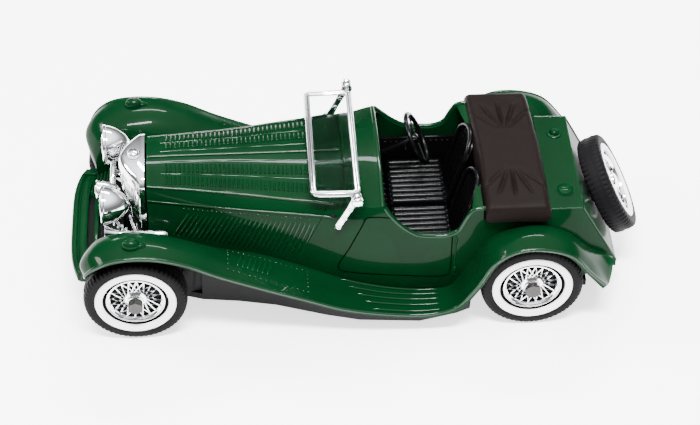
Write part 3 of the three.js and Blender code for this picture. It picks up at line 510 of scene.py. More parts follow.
def refinish(node, slot):
    """A solid whose shape is right keeps its mesh and gets the detailed finish."""
    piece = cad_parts[node]
    if not piece.data.materials:
        piece.data.materials.append(FINISHES[slot])
    for number in range(len(piece.material_slots)):
        piece.material_slots[number].material = FINISHES[slot]


def curve_point(points, share):
    """A point on the smooth curve through the given points."""
    place = share * (len(points) - 1)
    first = min(int(place), len(points) - 2)
    local = place - first
    b, c = Vector(points[first]), Vector(points[first + 1])
    a = Vector(points[first - 1]) if first else b * 2 - c
    d = Vector(points[first + 2]) if first + 2 < len(points) else c * 2 - b
    before, across, after = (max((q - p).length ** 0.5, 1e-4) for p, q in ((a, b), (b, c), (c, d)))
    leave = ((b - a) / before - (c - a) / (before + across) + (c - b) / across) * across
    reach = ((c - b) / across - (d - b) / (across + after) + (d - c) / after) * across
    return (b + leave * local + (c * 3 - b * 3 - leave * 2 - reach) * local ** 2
            + (b * 2 - c * 2 + leave + reach) * local ** 3)


def smooth_path(points, steps):
    return [curve_point(points, k / steps) for k in range(steps + 1)]


def eased(rows, x, column):
    """The value of a table column at x on a curve that never overshoots its rows."""
    if x <= rows[0][0]:
        return rows[0][column]
    if x >= rows[-1][0]:
        return rows[-1][column]
    k = next(i for i in range(len(rows) - 1) if rows[i + 1][0] >= x)
    slopes = [(rows[i + 1][column] - rows[i][column]) / (rows[i + 1][0] - rows[i][0])
              for i in range(len(rows) - 1)]

    def tangent(i):
        if i in (0, len(rows) - 1):
            return slopes[min(i, len(slopes) - 1)]
        left, right = slopes[i - 1], slopes[i]
        return 0.0 if left * right <= 0 else 2 * left * right / (left + right)

    width = rows[k + 1][0] - rows[k][0]
    t = (x - rows[k][0]) / width
    return (rows[k][column] * (1 + 2 * t) * (1 - t) ** 2 + tangent(k) * width * t * (1 - t) ** 2
            + rows[k + 1][column] * t * t * (3 - 2 * t) - tangent(k + 1) * width * t * t * (1 - t))


# ------------------------------------------------------------------ the body
# Front to rear: x, bottom z, bottom half-width, waist half-width and z, shoulder half-width and z,
# crown z.
BODY_LINES = [
    (-36.9, 11, 8, 7.2, 21.9, 6.4, 24.5, 25.6),
    (-30, 10.5, 9.5, 8.4, 21.8, 7.2, 24.3, 25.7),
    (-22.5, 9.5, 11, 9.8, 21.8, 8.2, 24, 25.7),
    (-14, 7.5, 12.6, 11.3, 21.9, 9.8, 23.9, 25.7),
    (-6.3, 5.3, 13.9, 12.7, 22.0, 11.2, 23.8, 25.7),
    (-1, 5.3, 14.3, 13.8, 21.7, 12.5, 23.5, 25.9),
    (3.9, 5.3, 14.5, 14.2, 21.5, 13.3, 24.2, 26.3),
    (12, 5.3, 14.6, 14.7, 21, 13.9, 24.2, 26.3),
    (20, 5.3, 14.4, 14.6, 20, 14.2, 24, 25),
    (24, 5.3, 14.2, 14.5, 19.5, 14, 23, 24),
    (33, 5.3, 14, 14.2, 18.8, 12.3, 21.3, 21.4),
    (39, 5.3, 13.4, 13.6, 14.5, 12.1, 21.2, 21.3),
    (46.1, 6.2, 11.6, 12, 7, 11.9, 7.8, 8),
]
DECK_REAR = 39
BONNET_REAR = -2.6
DASH_EDGE = 3.7
BELOW, ABOVE, OUTSIDE = -5, 40, 21


def body_sizes(x):
    if x > DECK_REAR:
        share = (x - DECK_REAR) / (BODY_LINES[-1][0] - DECK_REAR)
        return [a + share * (b - a) for a, b in zip(BODY_LINES[-2][1:], BODY_LINES[-1][1:])]
    return [eased(BODY_LINES[:-1], x, column) for column in range(1, 8)]


def body_half(x, inset=0.0, bottom=None):
    """Half of a cross-section, as (y, z) pairs from the bottom edge to the crown."""
    bottom_z, low, waist, waist_z, shoulder, shoulder_z, crown = body_sizes(x)
    low, waist, shoulder = low - inset, waist - inset, shoulder - 0.8 * inset
    shoulder_z, crown = shoulder_z - 0.8 * inset, crown - inset
    start = Vector((low, bottom_z if bottom is None else bottom))
    middle, top = Vector((waist, waist_z)), Vector((shoulder, shoulder_z))
    half = []
    for foot, head, steps, swell in ((start, middle, 5, 0.35), (middle, top, 4, 0.12)):
        half += [foot.lerp(head, k / steps) + Vector((swell * math.sin(math.pi * k / steps), 0))
                 for k in range(steps)]
    for k in range(9):
        y = shoulder * (1 - k / 8)
        half.append(Vector((y, shoulder_z + (crown - shoulder_z) * (1 - (y / shoulder) ** 2))))
    return [(y, z) for y, z in half]


def body_section(x, inset=0.0, bottom=None):
    return symmetric(x, body_half(x, inset, bottom))


def side_point(x, z, lift=0.0):
    """A point on the right-hand flank of the body, lifted off it by lift."""
    half = body_half(x)
    for (y0, z0), (y1, z1) in zip(half, half[1:]):
        if z0 <= z <= z1 and z1 > z0:
            return Vector((x, y0 + (y1 - y0) * (z - z0) / (z1 - z0) + lift, z))
    return Vector((x, half[0][0] + lift, z))


def top_point(x, y, lift=0.0):
    _, _, _, _, shoulder, shoulder_z, crown = body_sizes(x)
    return Vector((x, y, shoulder_z + (crown - shoulder_z) * (1 - (y / shoulder) ** 2) + lift))


DOOR_TOP = [
    (3.9, 24.2), (5.5, 22), (7.5, 19.9), (9.8, 18.4), (12.2, 18), (15, 18),
    (17, 19), (18.2, 21.4), (19.2, 23.2), (20.2, 23.6), (21.7, 23.6),
]
HOOD_FRONT, HOOD_REAR, HOOD_SEAT = 21.45, 32.85, 21


def door_path():
    """The door's shut line, in x and z."""
    corners = [(5.4, 22.3), (2.4, 22.4), (0.9, 22.1), (0.2, 20.6), (-2, 15.4), (-3.9, 11), (-3.5, 10),
               (-2.2, 9.7), (2, 9.2), (8, 8.7), (14.4, 8.3), (15.5, 8.6), (15.8, 9.6), (15.9, 13.5),
               (15.9, 18.2)]
    return smooth_path([(x, 0, z) for x, z in corners], 110)


def shut_line_cutters():
    radius = sizes().groove / MM / 2
    bonnet_path = smooth_path([(-10.3, 0, 13.6), (-8.1, 0, 18.6), (-5.9, 0, 23.4)], 30)
    cutters = []
    for path in (door_path(), bonnet_path):
        cutter = Shape().tube([side_point(p.x, p.z) for p in path], radius, 6, up=(0, 1, 0))
        cutters += [cutter, cutter.mirrored()]
    reach = body_sizes(BONNET_REAR)[4] - 0.3
    over = [top_point(BONNET_REAR, reach * (k / 20 - 1)) for k in range(41)]
    return [*cutters, Shape().tube(over, radius, 6)]


class ROADSTER_OT_body(bpy.types.Operator):
    """Builds the main casting: bonnet, scuttle, doors, flanks, deck and tail"""
    bl_idname = "roadster.body"
    bl_label = "Body casting"

    def execute(self, context):
        stations = [-36.9 + 75.9 * k / 76 for k in range(77)] + [40.8, 42.6, 44.4, 46.1]
        body = loose_object("body_shell", Shape().loft([body_section(x) for x in stations]))
        inner = [-35.9 + 73.9 * k / 60 for k in range(61)]
        sections = [body_section(x, 1, BELOW) for x in inner]
        sections.append(body_section(DECK_REAR + 5.4, 1.3, BELOW))
        line = smooth_path([(x, 0, z) for x, z in DOOR_TOP], 60)
        outline = [(p.x, p.z) for p in line] + [(21.7, ABOVE), (3.9, ABOVE)]
        opening = Shape().across(outline, -OUTSIDE, OUTSIDE)
        seat = Shape().slab((HOOD_FRONT - 0.3, -OUTSIDE, HOOD_SEAT), (HOOD_REAR + 0.3, OUTSIDE, ABOVE))
        arches = Shape().slab((28.7, -OUTSIDE, BELOW), (31.3, OUTSIDE, 10.4))
        carve(body, [Shape().loft(sections), opening, seat, arches, *shut_line_cutters()])
        present(body, "green_paint", nodes=["body_casting"], smooth=28)

        edge = [side_point(p.x, p.z, -0.35) for p in line if p.z < 23.9]
        rim = Shape().tube(edge, 0.42, 10).both_sides()
        shoulder = body_sizes(DASH_EDGE)[4]
        bow = [top_point(DASH_EDGE, shoulder * (k / 16 - 1) * 0.985, -0.3) for k in range(33)]
        rim.tube(bow, 0.42, 10)
        raised("cockpit_rim", rim)

        hinges = Shape()
        for z in (9.6, 16.4):
            foot, head = side_point(16.6, z, 0.05), side_point(16.6, z + 1.2, 0.05)
            hinges.capsule(foot, head, 0.3, 0.3, (0, 1, 0))
        hinges.tube([side_point(16.55, 8.4 + 0.5 * k, -0.02) for k in range(20)], 0.2, 8, up=(0, 1, 0))
        piece_of("door_hinges", hinges.both_sides(), "green_paint", smooth=60)
        return {"FINISHED"}


class ROADSTER_OT_bonnet(bpy.types.Operator):
    """Builds the bonnet's hinge, louvres, crease beads and rivets"""
    bl_idname = "roadster.bonnet"
    bl_label = "Bonnet louvres"

    def execute(self, context):
        pitch, height = sizes().louvre_pitch / MM, sizes().louvre_height / MM
        louvres = Shape()
        x = -33.4
        while x < -8:
            shoulder = body_sizes(x)[4]
            for share, reach in ((0.42, 0.95), (0.77, 0.9)):
                for sign in (-1, 1):
                    ends = [top_point(x, sign * (shoulder * share + end)) for end in (-reach, reach)]
                    louvres.capsule(*ends, 0.22, height)
            x += pitch
        raised("bonnet_louvres", louvres)

        seams = Shape()
        seams.tube([top_point(-36.7 + 33.7 * k / 40, 0, 0.02) for k in range(41)], 0.26, 8)
        stations = [-34.5 + 27 * k / 30 for k in range(31)]
        for sign in (-1, 1):
            for share in (0.2, 0.595):
                run = [top_point(x, sign * body_sizes(x)[4] * share, -0.02) for x in stations]
                seams.tube(run, 0.11, 6)
        corners = [-36.8 + 32.2 * k / 44 for k in range(45)]
        for sign in (-1, 1):
            for width, radius in ((4, 0.25), (2, 0.22)):
                edge = []
                for x in corners:
                    lines = body_sizes(x)
                    edge.append((x, sign * (lines[width] + 0.02), lines[width + 1]))
                seams.tube(edge, radius, 8)
        raised("bonnet_seams", seams)

        side = Shape()
        x = -32.6
        while x < -10.2:
            foot = 14.4 - 0.12 * (x + 28)
            rise = body_sizes(x)[3] - 1.7 - foot
            run = [side_point(x + 2.9 * k / 6, foot + rise * k / 6) for k in range(7)]
            side.tube(run, [0.04, 0.2, 0.23, 0.23, 0.23, 0.2, 0.04], 8, up=(0, 1, 0))
            x += 0.84
        x = -30.5
        while x < -8.6:
            side.dome(side_point(x, body_sizes(x)[3] - 0.85), [sizes().rivet_radius / MM] * 3, 5, 8)
            x += 0.8
        raised("bonnet_side_louvres", side.both_sides())
        return {"FINISHED"}


# ------------------------------------------------------------------ wings
# Right-hand wing, nose to tail: inner edge, turn-over, inner crown, crown, outer lip.
WING_RAILS = [
    [(-46.3, 12.4, 9.4), (-45.9, 12.4, 9.4), (-45.1, 12.4, 9.4), (-43.3, 12.4, 9.4), (-39.5, 12.3, 9.6),
     (-35.5, 10.6, 12), (-31, 10.3, 13.4), (-25, 10.6, 12.6), (-18, 11.6, 11.8), (-10.5, 12.4, 9.6),
     (-3, 13.3, 7), (5, 13.6, 5), (12, 13.6, 4.9), (15.8, 13.6, 5.2), (18.9, 13.4, 10.6),
     (22.1, 13.2, 16.2), (26, 13.2, 18.2), (31, 13.2, 19), (35.7, 13.2, 17), (40.2, 13, 12.8),
     (45, 12.9, 9.8)],
    [(-46.9, 13, 11), (-47.1, 13, 15.2), (-45.8, 13, 18.2), (-43.3, 13, 19.5), (-39.5, 12.9, 19.8),
     (-35.2, 11.9, 17.6), (-30.6, 11.1, 15.3), (-25, 11.5, 14.1), (-18, 12.4, 13.2), (-10.5, 13.3, 10.8),
     (-3, 14.1, 8), (5, 14.4, 5.8), (12, 14.4, 5), (15.9, 14.4, 5.5), (19, 14.2, 11.1),
     (22.2, 14, 16.8), (26, 14, 18.7), (31, 14, 19.5), (35.8, 14, 17.6), (40.3, 14, 13.4), (45, 14, 10.2)],
    [(-47.9, 14.8, 13.1), (-48.1, 14.8, 16.4), (-46.2, 15, 19.5), (-43.4, 15.2, 21), (-39.5, 15.1, 21.6),
     (-35, 14.8, 20.9), (-30.2, 14.3, 18.8), (-25, 14.5, 16.6), (-18, 14.9, 13.9), (-10.5, 15.4, 10.9),
     (-3, 15.9, 7.8), (5, 16.2, 5.7), (12, 16.2, 5.1), (16, 16.2, 5.7), (19.3, 16.1, 11.3),
     (22.4, 16, 17.4), (26.2, 16, 19.9), (31, 16, 20.7), (35.9, 16, 18.9), (40.2, 16, 14.5),
     (44.7, 15.8, 9.2)],
    [(-48.4, 16.8, 14.4), (-48.6, 17.2, 16.9), (-46.6, 17.8, 19.9), (-43.4, 18, 21.4), (-39.5, 18, 22),
     (-35, 17.9, 21.7), (-30.2, 17.7, 20.1), (-25, 17.7, 17.5), (-18, 17.9, 14.2), (-10.5, 18.1, 10.9),
     (-3, 18.4, 7.6), (5, 18.5, 5.7), (12, 18.5, 5.2), (16.2, 18.5, 6), (19.5, 18.4, 11.5),
     (22.6, 18.4, 17.7), (26.3, 18.4, 20.4), (31, 18.4, 20.9), (36, 18.4, 19.2), (40.1, 18.4, 14.6),
     (43.9, 18, 8.4)],
    [(-47.8, 18.6, 14.9), (-47.6, 20, 17), (-46, 20.8, 19.3), (-43.4, 21, 20.9), (-39.5, 21, 21.5),
     (-35, 21, 21.1), (-30.2, 21, 19.5), (-25, 21, 16.7), (-18, 21, 13.5), (-10.5, 21, 10.3),
     (-3, 21, 7.2), (5, 21, 5.5), (12, 21, 5.1), (16.3, 21, 6.5), (19.8, 21, 11.2),
     (22.9, 21, 17.3), (26.4, 21, 19.8), (31, 21, 20.1), (36, 21, 18.4), (39.9, 21, 13.8),
     (42.9, 20.4, 10)],
]
WING_STEPS, WING_ACROSS = 150, 20


def wing_point(along, sideways):
    """A point on the wing's skin; along runs nose to tail, sideways from the body to the lip."""
    return curve_point([curve_point(rail, along) for rail in WING_RAILS], sideways)


def wing_normal(along, sideways):
    step = 0.004
    run = wing_point(min(along + step, 1), sideways) - wing_point(max(along - step, 0), sideways)
    side = wing_point(along, min(sideways + 0.02, 1)) - wing_point(along, max(sideways - 0.02, 0))
    return run.cross(side).normalized()


def wing_at(x, sideways):
    """How far along the wing its skin reaches x."""
    low, high = 0.04, 0.97
    for _ in range(24):
        middle = (low + high) / 2
        if wing_point(middle, sideways).x < x:
            low = middle
        else:
            high = middle
    return low


def wing_skin():
    grid = [[wing_point(i / WING_STEPS, j / WING_ACROSS) for j in range(WING_ACROSS + 1)]
            for i in range(WING_STEPS + 1)]
    sections = []
    for i, row in enumerate(grid):
        ahead, behind = grid[min(i + 1, WING_STEPS)], grid[max(i - 1, 0)]
        under = []
        for j, point in enumerate(row):
            side = row[min(j + 1, WING_ACROSS)] - row[max(j - 1, 0)]
            inward = side.cross(ahead[j] - behind[j]).normalized()
            under.append(point + inward * 0.85)
        sections.append(row + under[::-1])
    return Shape().loft(sections)


class ROADSTER_OT_wings(bpy.types.Operator):
    """Builds the sweeping wings with their running boards, lamp pods, rivets and chassis rails"""
    bl_idname = "roadster.wings"
    bl_label = "Wings"

    def execute(self, context):
        wings = loose_object("wings", wing_skin().both_sides())
        rounded_edges(wings, 0.22, 50, 3)
        present(wings, "green_paint", nodes=["wing_casting"], smooth=50)

        beads = Shape()
        beads.tube([wing_point(k / 150, 1) + Vector((0, -0.12, -0.12)) for k in range(2, 150)], 0.3, 8)
        raised("wing_beads", beads.both_sides())

        boards = Shape()
        for k in range(6):
            side = 0.19 + 0.145 * k
            first, last = wing_at(1.3 * k - 4.6, side), wing_at(13.9, side)
            run = [first + (last - first) * n / 24 for n in range(25)]
            lift = math.copysign(0.04, wing_normal(run[12], side).z)
            path = [wing_point(t, side) + wing_normal(t, side) * lift for t in run]
            boards.tube(path, [0.05] + [0.24] * 23 + [0.05], 8)
        raised("running_board_ribs", boards.both_sides())

        pods = Shape().dome((-39.5, 18.3, 22.0), (1.65, 1.15, 1.35), 12, 24)
        pods.dome((-38.4, 18.3, 21.9), (1.5, 0.7, 0.65), 10, 20)
        piece_of("wing_lamp_pods", pods.both_sides(), "green_paint", smooth=70)

        panel = Shape()
        radius = sizes().rivet_radius / MM
        front, length_of_panel, inner, outer = -23.2, 13.8, 0.42, 0.86
        spots = [(front + length_of_panel * k / 15, side) for k in range(16) for side in (inner, outer)]
        spots += [(x, inner + 0.088 * k) for k in range(1, 5) for x in (front, -9.4)]
        for x, side in spots:
            panel.dome(wing_point(wing_at(x, side), side), [radius] * 3, 5, 8)
        for k in range(7):
            start, end = wing_at(-20.8 + 0.85 * k, 0.5), wing_at(-21.6 + 0.85 * k, 0.76)
            a, b = wing_point(start, 0.5), wing_point(end, 0.76)
            panel.capsule(a, b, 0.2, 0.24, tuple((b - a).cross(Vector((1, 0, -0.3)))))
        raised("wing_rivet_panels", panel.both_sides())

        chassis = Shape()
        rail = [(-10, 4.4, 4.9), (-30, 4.4, 6.6), (-44, 4.4, 6.6), (-48.4, 7.4, 9.4)]
        chassis.loft([[Vector((x, y, z)) for y, z in ((8.4, low), (10, low), (10, high), (8.4, high))]
                      for x, low, high in rail])
        for k in range(6):
            lift = 0.42 * k
            foot, head = (-47.9 + 0.7 * k, 9.3, 8.8 + lift), (-47.3 + 0.7 * k, 12.4, 9.9 + lift)
            chassis.capsule(foot, head, 0.26, 0.26)
        whole = chassis.both_sides()
        whole.slab((-12, -14.1, 4.05), (26.4, 14.1, 4.85))
        whole.slab((-28, -9.1, 4.05), (-22, 9.1, 4.85))
        piece_of("floor_and_rails", whole, "green_paint", edges=0.12, smooth=40)
        return {"FINISHED"}


class ROADSTER_OT_valance(bpy.types.Operator):
    """Builds the curved panel across the front between the wings"""
    bl_idname = "roadster.valance"
    bl_label = "Front valance"

    def execute(self, context):
        profile = [(-48.4, 8.3), (-50.5, 8.3), (-51.05, 8.7), (-51.15, 9.7), (-50.95, 10.25),
                   (-50.5, 10.38), (-50.1, 10.3), (-50.0, 10.05), (-49.75, 10.05), (-49.65, 10.3),
                   (-49.2, 10.36), (-48.6, 10.3), (-48.3, 10.0)]
        half_width, sweep = 13.1, 1.4
        sections = []
        for k in range(61):
            y = half_width * (k / 30 - 1)
            back = sweep * abs(y / half_width) ** 4
            sections.append([Vector((x + back, y, z)) for x, z in profile])
        shape = Shape().loft(sections)
        end = Shape().loft([[Vector(p) for p in section] for section in (
            [(-49.7, 12.4, 8.4), (-46.9, 12.2, 8.4), (-46.8, 12.2, 10.7), (-49.6, 12.4, 10.7)],
            [(-49.0, 13.5, 9.2), (-47, 13.4, 9.2), (-46.9, 13.4, 10.9), (-48.8, 13.5, 10.9)])])
        shape.merge(end.both_sides())
        shape.slab((-47.2, -8.3, 7.3), (-46.4, 8.3, 9.2))
        piece_of("front_valance", shape, "green_paint", edges=0.1, smooth=45)
        # Two thin near-black sheets below the valance and the radiator: painted shade in the gaps there.
        dark = Shape().slab((-48.3, -8.2, 6.9), (-42, 8.2, 7.3))
        dark.slab((-49.9, -12.3, 8.0), (-46.5, 12.3, 8.45))
        piece_of("front_shadow_sheets", dark, "green_paint", edges=0.1, finish="painted_shade")
        return {"FINISHED"}


# ------------------------------------------------------------------ wheels
WHEELS = ("front_left", "front_right", "rear_left", "rear_right", "spare")
TAIL_OUT = Vector((0.882, 0, 0.471))


def wheel_place(name):
    low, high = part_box(f"{name}_tyre")
    centre = (low + high) / 2 / MM
    if name == "spare":
        axes = Matrix((Vector((0, -1, 0)), TAIL_OUT, TAIL_OUT.cross(Vector((0, 1, 0)))))
        turn = axes.transposed().to_4x4()
    else:
        turn = Matrix.Rotation(math.pi if "left" in name else 0, 4, "Z")
    return Matrix.Translation(centre) @ turn


class ROADSTER_OT_wheels(bpy.types.Operator):
    """Builds the four road wheels and the spare, each a tyre, a white ring and a wire wheel"""
    bl_idname = "roadster.wheels"
    bl_label = "Wheels"

    def tyre(self, place):
        blocks = sizes().tread_blocks
        profile = [(5.5, -1.95), (6.6, -2.08), (8.0, -2.1), (8.5, -2.02), (8.85, -1.75), (9.0, -1.25),
                   (9.02, -0.5), (9.02, 0.5), (9.0, 1.25), (8.85, 1.75), (8.5, 2.02), (8.0, 2.1),
                   (7.2, 2.06), (7.12, 1.9), (7.12, 1.5), (5.72, 1.5), (5.72, 1.1), (5.5, 1.0)]
        shoulder_cuts = {3: -0.08, 4: -0.16, 5: -0.2, 8: -0.2, 9: -0.16, 10: -0.08}

        def ripple(k, n):
            return shoulder_cuts.get(n, 0.0) if k % 4 == 0 else 0.0

        shape = Shape().turned(profile, blocks * 4, place, ripple)
        for y in (-0.62, 0.62):
            rib = [(8.9, y - 0.12), (9.08, y - 0.1), (9.08, y + 0.1), (8.9, y + 0.12)]
            shape.turned(rib, 96, place)
        return shape

    def white_ring(self, place):
        profile = [(5.78, 1.55), (7.08, 1.55), (7.1, 1.94), (7.0, 2.05), (6.45, 2.09), (5.88, 2.03),
                   (5.78, 1.92)]
        return Shape().turned(profile, 120, place)

    def wire_wheel(self, place, spare):
        wheel = Shape()
        rim = [(4.5, -1.7), (5.15, -1.75), (5.2, 1.45), (5.12, 1.62), (5.0, 1.66), (4.92, 1.5),
               (4.88, 1.15), (4.6, 0.95), (4.5, 0.9)]
        wheel.turned(rim, 120, place)
        wheel.turned([(4.62, 0.98), (4.82, 1.08), (4.86, 1.3), (4.7, 1.36), (4.58, 1.2)], 120, place)
        hub = [(0.01, -2), (1.65, -2), (1.65, 0.6), (1.95, 0.9), (1.9, 1.15), (1.45, 1.4), (1.4, 1.75),
               (1.2, 1.92), (0.01, 1.98)]
        if spare:
            hub = [(0.01, -2), (1.65, -2), (2.5, 0.9), (2.3, 1.15), (1.6, 1.35), (1.5, 1.7), (1.0, 1.95),
                   (0.01, 2.05)]
        wheel.turned(hub, 48, place)
        count, radius = sizes().wires, sizes().wire_radius / MM
        layers = ((1.05, 1.0, 0.74), (0.84, 0.9, -0.74))
        for layer, (foot_y, head_y, lean) in enumerate(layers):
            for k in range(count):
                start = 2 * math.pi * (k + 0.5 * layer) / count
                a, b = round_y(1.5, foot_y, start), round_y(4.72, head_y, start + lean)
                wheel.tube([place @ a, place @ a.lerp(b, 0.5), place @ b], radius, 6)
        for k in range(count):
            spot = place @ round_y(4.66, 1.08, 2 * math.pi * (k + 0.25) / count)
            wheel.dome(spot, (0.14, 0.14, 0.14), 4, 6)
        return wheel

    def execute(self, context):
        for name in WHEELS:
            place = wheel_place(name)
            body = "car" if name == "spare" else f"{name}_wheel"
            piece_of(f"{name}_tyre_tread", self.tyre(place), "tyre_rubber", body, [f"{name}_tyre"], 35)
            piece_of(f"{name}_white_ring", self.white_ring(place), "whitewall_white", body,
                     [f"{name}_whitewall"])
            piece_of(f"{name}_wires", self.wire_wheel(place, name == "spare"), "wheel_plating", body,
                     [f"{name}_wire_wheel"])
            # A near-black disc behind the wires: painted shade inside the wheel, seen between the wires.
            bore = 0.02 if name == "spare" else 1.66
            disc = Shape().turned([(bore, -1.2), (4.55, -1.2), (4.55, -0.9), (bore, -0.9)], 48, place)
            piece_of(f"{name}_wheel_back", disc, "tyre_rubber", body, finish="painted_shade")
        return {"FINISHED"}


# ------------------------------------------------------------------ radiator, lamps and horns
RADIATOR_BACK = -37.2
HEADLAMP_RADIUS, CENTRE_LAMP_RADIUS = 3.55, 1.8


def radiator_plan(z, half, depth, inset=0.0):
    """A flat back and a bowed, slightly pointed front, at one height."""
    front = []
    for k in range(25):
        share = 1 - k / 12
        bow = 1 - abs(share) ** 1.7
        front.append(Vector((RADIATOR_BACK - 0.9 - (depth - 0.9) * bow + inset, share * (half - inset), z)))
    return [Vector((RADIATOR_BACK, half - inset, z)), *front, Vector((RADIATOR_BACK, inset - half, z))]


def radiator_bow(y, half, depth):
    """Where the bowed front of the radiator stands at y."""
    return RADIATOR_BACK - 0.9 - (depth - 0.9) * (1 - abs(y / half) ** 1.7)


class ROADSTER_OT_radiator(bpy.types.Operator):
    """Builds the radiator shell, its upright slats and its cap"""
    bl_idname = "roadster.radiator"
    bl_label = "Radiator"

    def execute(self, context):
        heights = [(10.7, 7.7, 3.4), (13, 7.68, 3.7), (17, 7.6, 4.1), (21, 7.3, 4.45), (24.4, 7.0, 4.6),
                   (25.2, 6.6, 4.55), (25.8, 6.0, 4.4), (26.2, 5.2, 4.0), (26.4, 4.5, 3.5)]
        levels = [10.7 + 15.7 * k / 40 for k in range(41)]
        heights = [(z, eased(heights, z, 1), eased(heights, z, 2)) for z in levels]
        shell = loose_object("radiator_surround", Shape().loft([radiator_plan(*row) for row in heights]))
        openings = [Shape().slab((-50, low, 12), (RADIATOR_BACK - 1.1, high, 23.6))
                    for low, high in ((-6.2, -0.4), (0.4, 6.2))]
        carve(shell, openings)
        rounded_edges(shell, 0.16, 40, 2)
        present(shell, "bright_plating", nodes=["radiator_shell"], smooth=32)

        slats = Shape()
        for sign in (-1, 1):
            for k in range(11):
                y = sign * (0.75 + 0.5 * k)
                run = []
                for n in range(9):
                    z = 12.05 + 11.5 * n / 8
                    depth = eased(heights, z, 2)
                    half = eased(heights, z, 1)
                    run.append((radiator_bow(y, half, depth) + 0.55, y, z))
                slats.tube(run, 0.16, 6, up=(1, 0, 0))
        piece_of("radiator_slats", slats, "grille_plating", nodes=["radiator_grille"], smooth=60)
        # A near-black block in the pocket behind the slats: painted shade inside the radiator.
        core = Shape().loft([[Vector((p.x + 1.3, p.y * 0.84, p.z)) for p in radiator_plan(z, 7.3, 4)[1:-1]]
                             + [Vector((-38.4, -6.1, z)), Vector((-38.4, 6.1, z))] for z in (12.1, 23.5)])
        piece_of("radiator_shade_block", core, "grille_plating", finish="painted_shade")

        cap = Shape()
        upright = Matrix.Translation((RADIATOR_BACK - 1.9, 0, 26.4)) @ Matrix.Rotation(math.pi / 2, 4, "X")
        profile = [(0.01, 0), (1.25, 0), (1.3, 0.15), (1.05, 0.28), (1.0, 0.55), (0.75, 0.72), (0.01, 0.8)]
        cap.turned(profile, 36, upright)
        cap.capsule((-39.1, -0.95, 27.0), (-39.1, 0.95, 27.0), 0.2, 0.17)
        piece_of("radiator_filler", cap, "bright_plating", nodes=["radiator_cap"], smooth=50)
        return {"FINISHED"}


def along_car(x, y, z):
    """Places a shape turned about Y so that its Y axis runs to the tail."""
    return Matrix.Translation((x, y, z)) @ Matrix.Rotation(-math.pi / 2, 4, "Z")


def bowl(radius, depth, place):
    """A lamp bowl with a beaded rim, a polished reflector and a bulb."""
    shape = Shape()
    reflector = [(0.01, depth * 0.72), (radius * 0.3, depth * 0.68), (radius * 0.6, depth * 0.46)]
    bead = [(radius - 0.62, 0.75), (radius - 0.5, 0.1), (radius - 0.42, -0.02), (radius - 0.1, 0.0),
            (radius, 0.12), (radius, 0.45), (radius - 0.08, 0.6), (radius * 0.955, 0.66)]
    outside = [(radius * wide, depth * deep) for wide, deep in (
        (0.93, 0.25), (0.85, 0.42), (0.72, 0.6), (0.5, 0.8), (0.28, 0.93))]
    shape.turned([*reflector, *bead, *outside, (0.01, depth)], 64, place)
    bulb = [(wide, depth * deep) for wide, deep in (
        (0.01, 0.4), (0.35, 0.4), (0.45, 0.55), (0.3, 0.75), (0.01, 0.75))]
    shape.turned(bulb, 16, place)
    return shape


def lens(radius, place):
    edge = radius - 0.7
    profile = [(0.01, -0.33), (edge * 0.4, -0.3), (edge * 0.75, -0.18), (edge, 0.06), (edge, 0.4),
               (0.01, 0.2)]
    return Shape().turned(profile, 64, place)


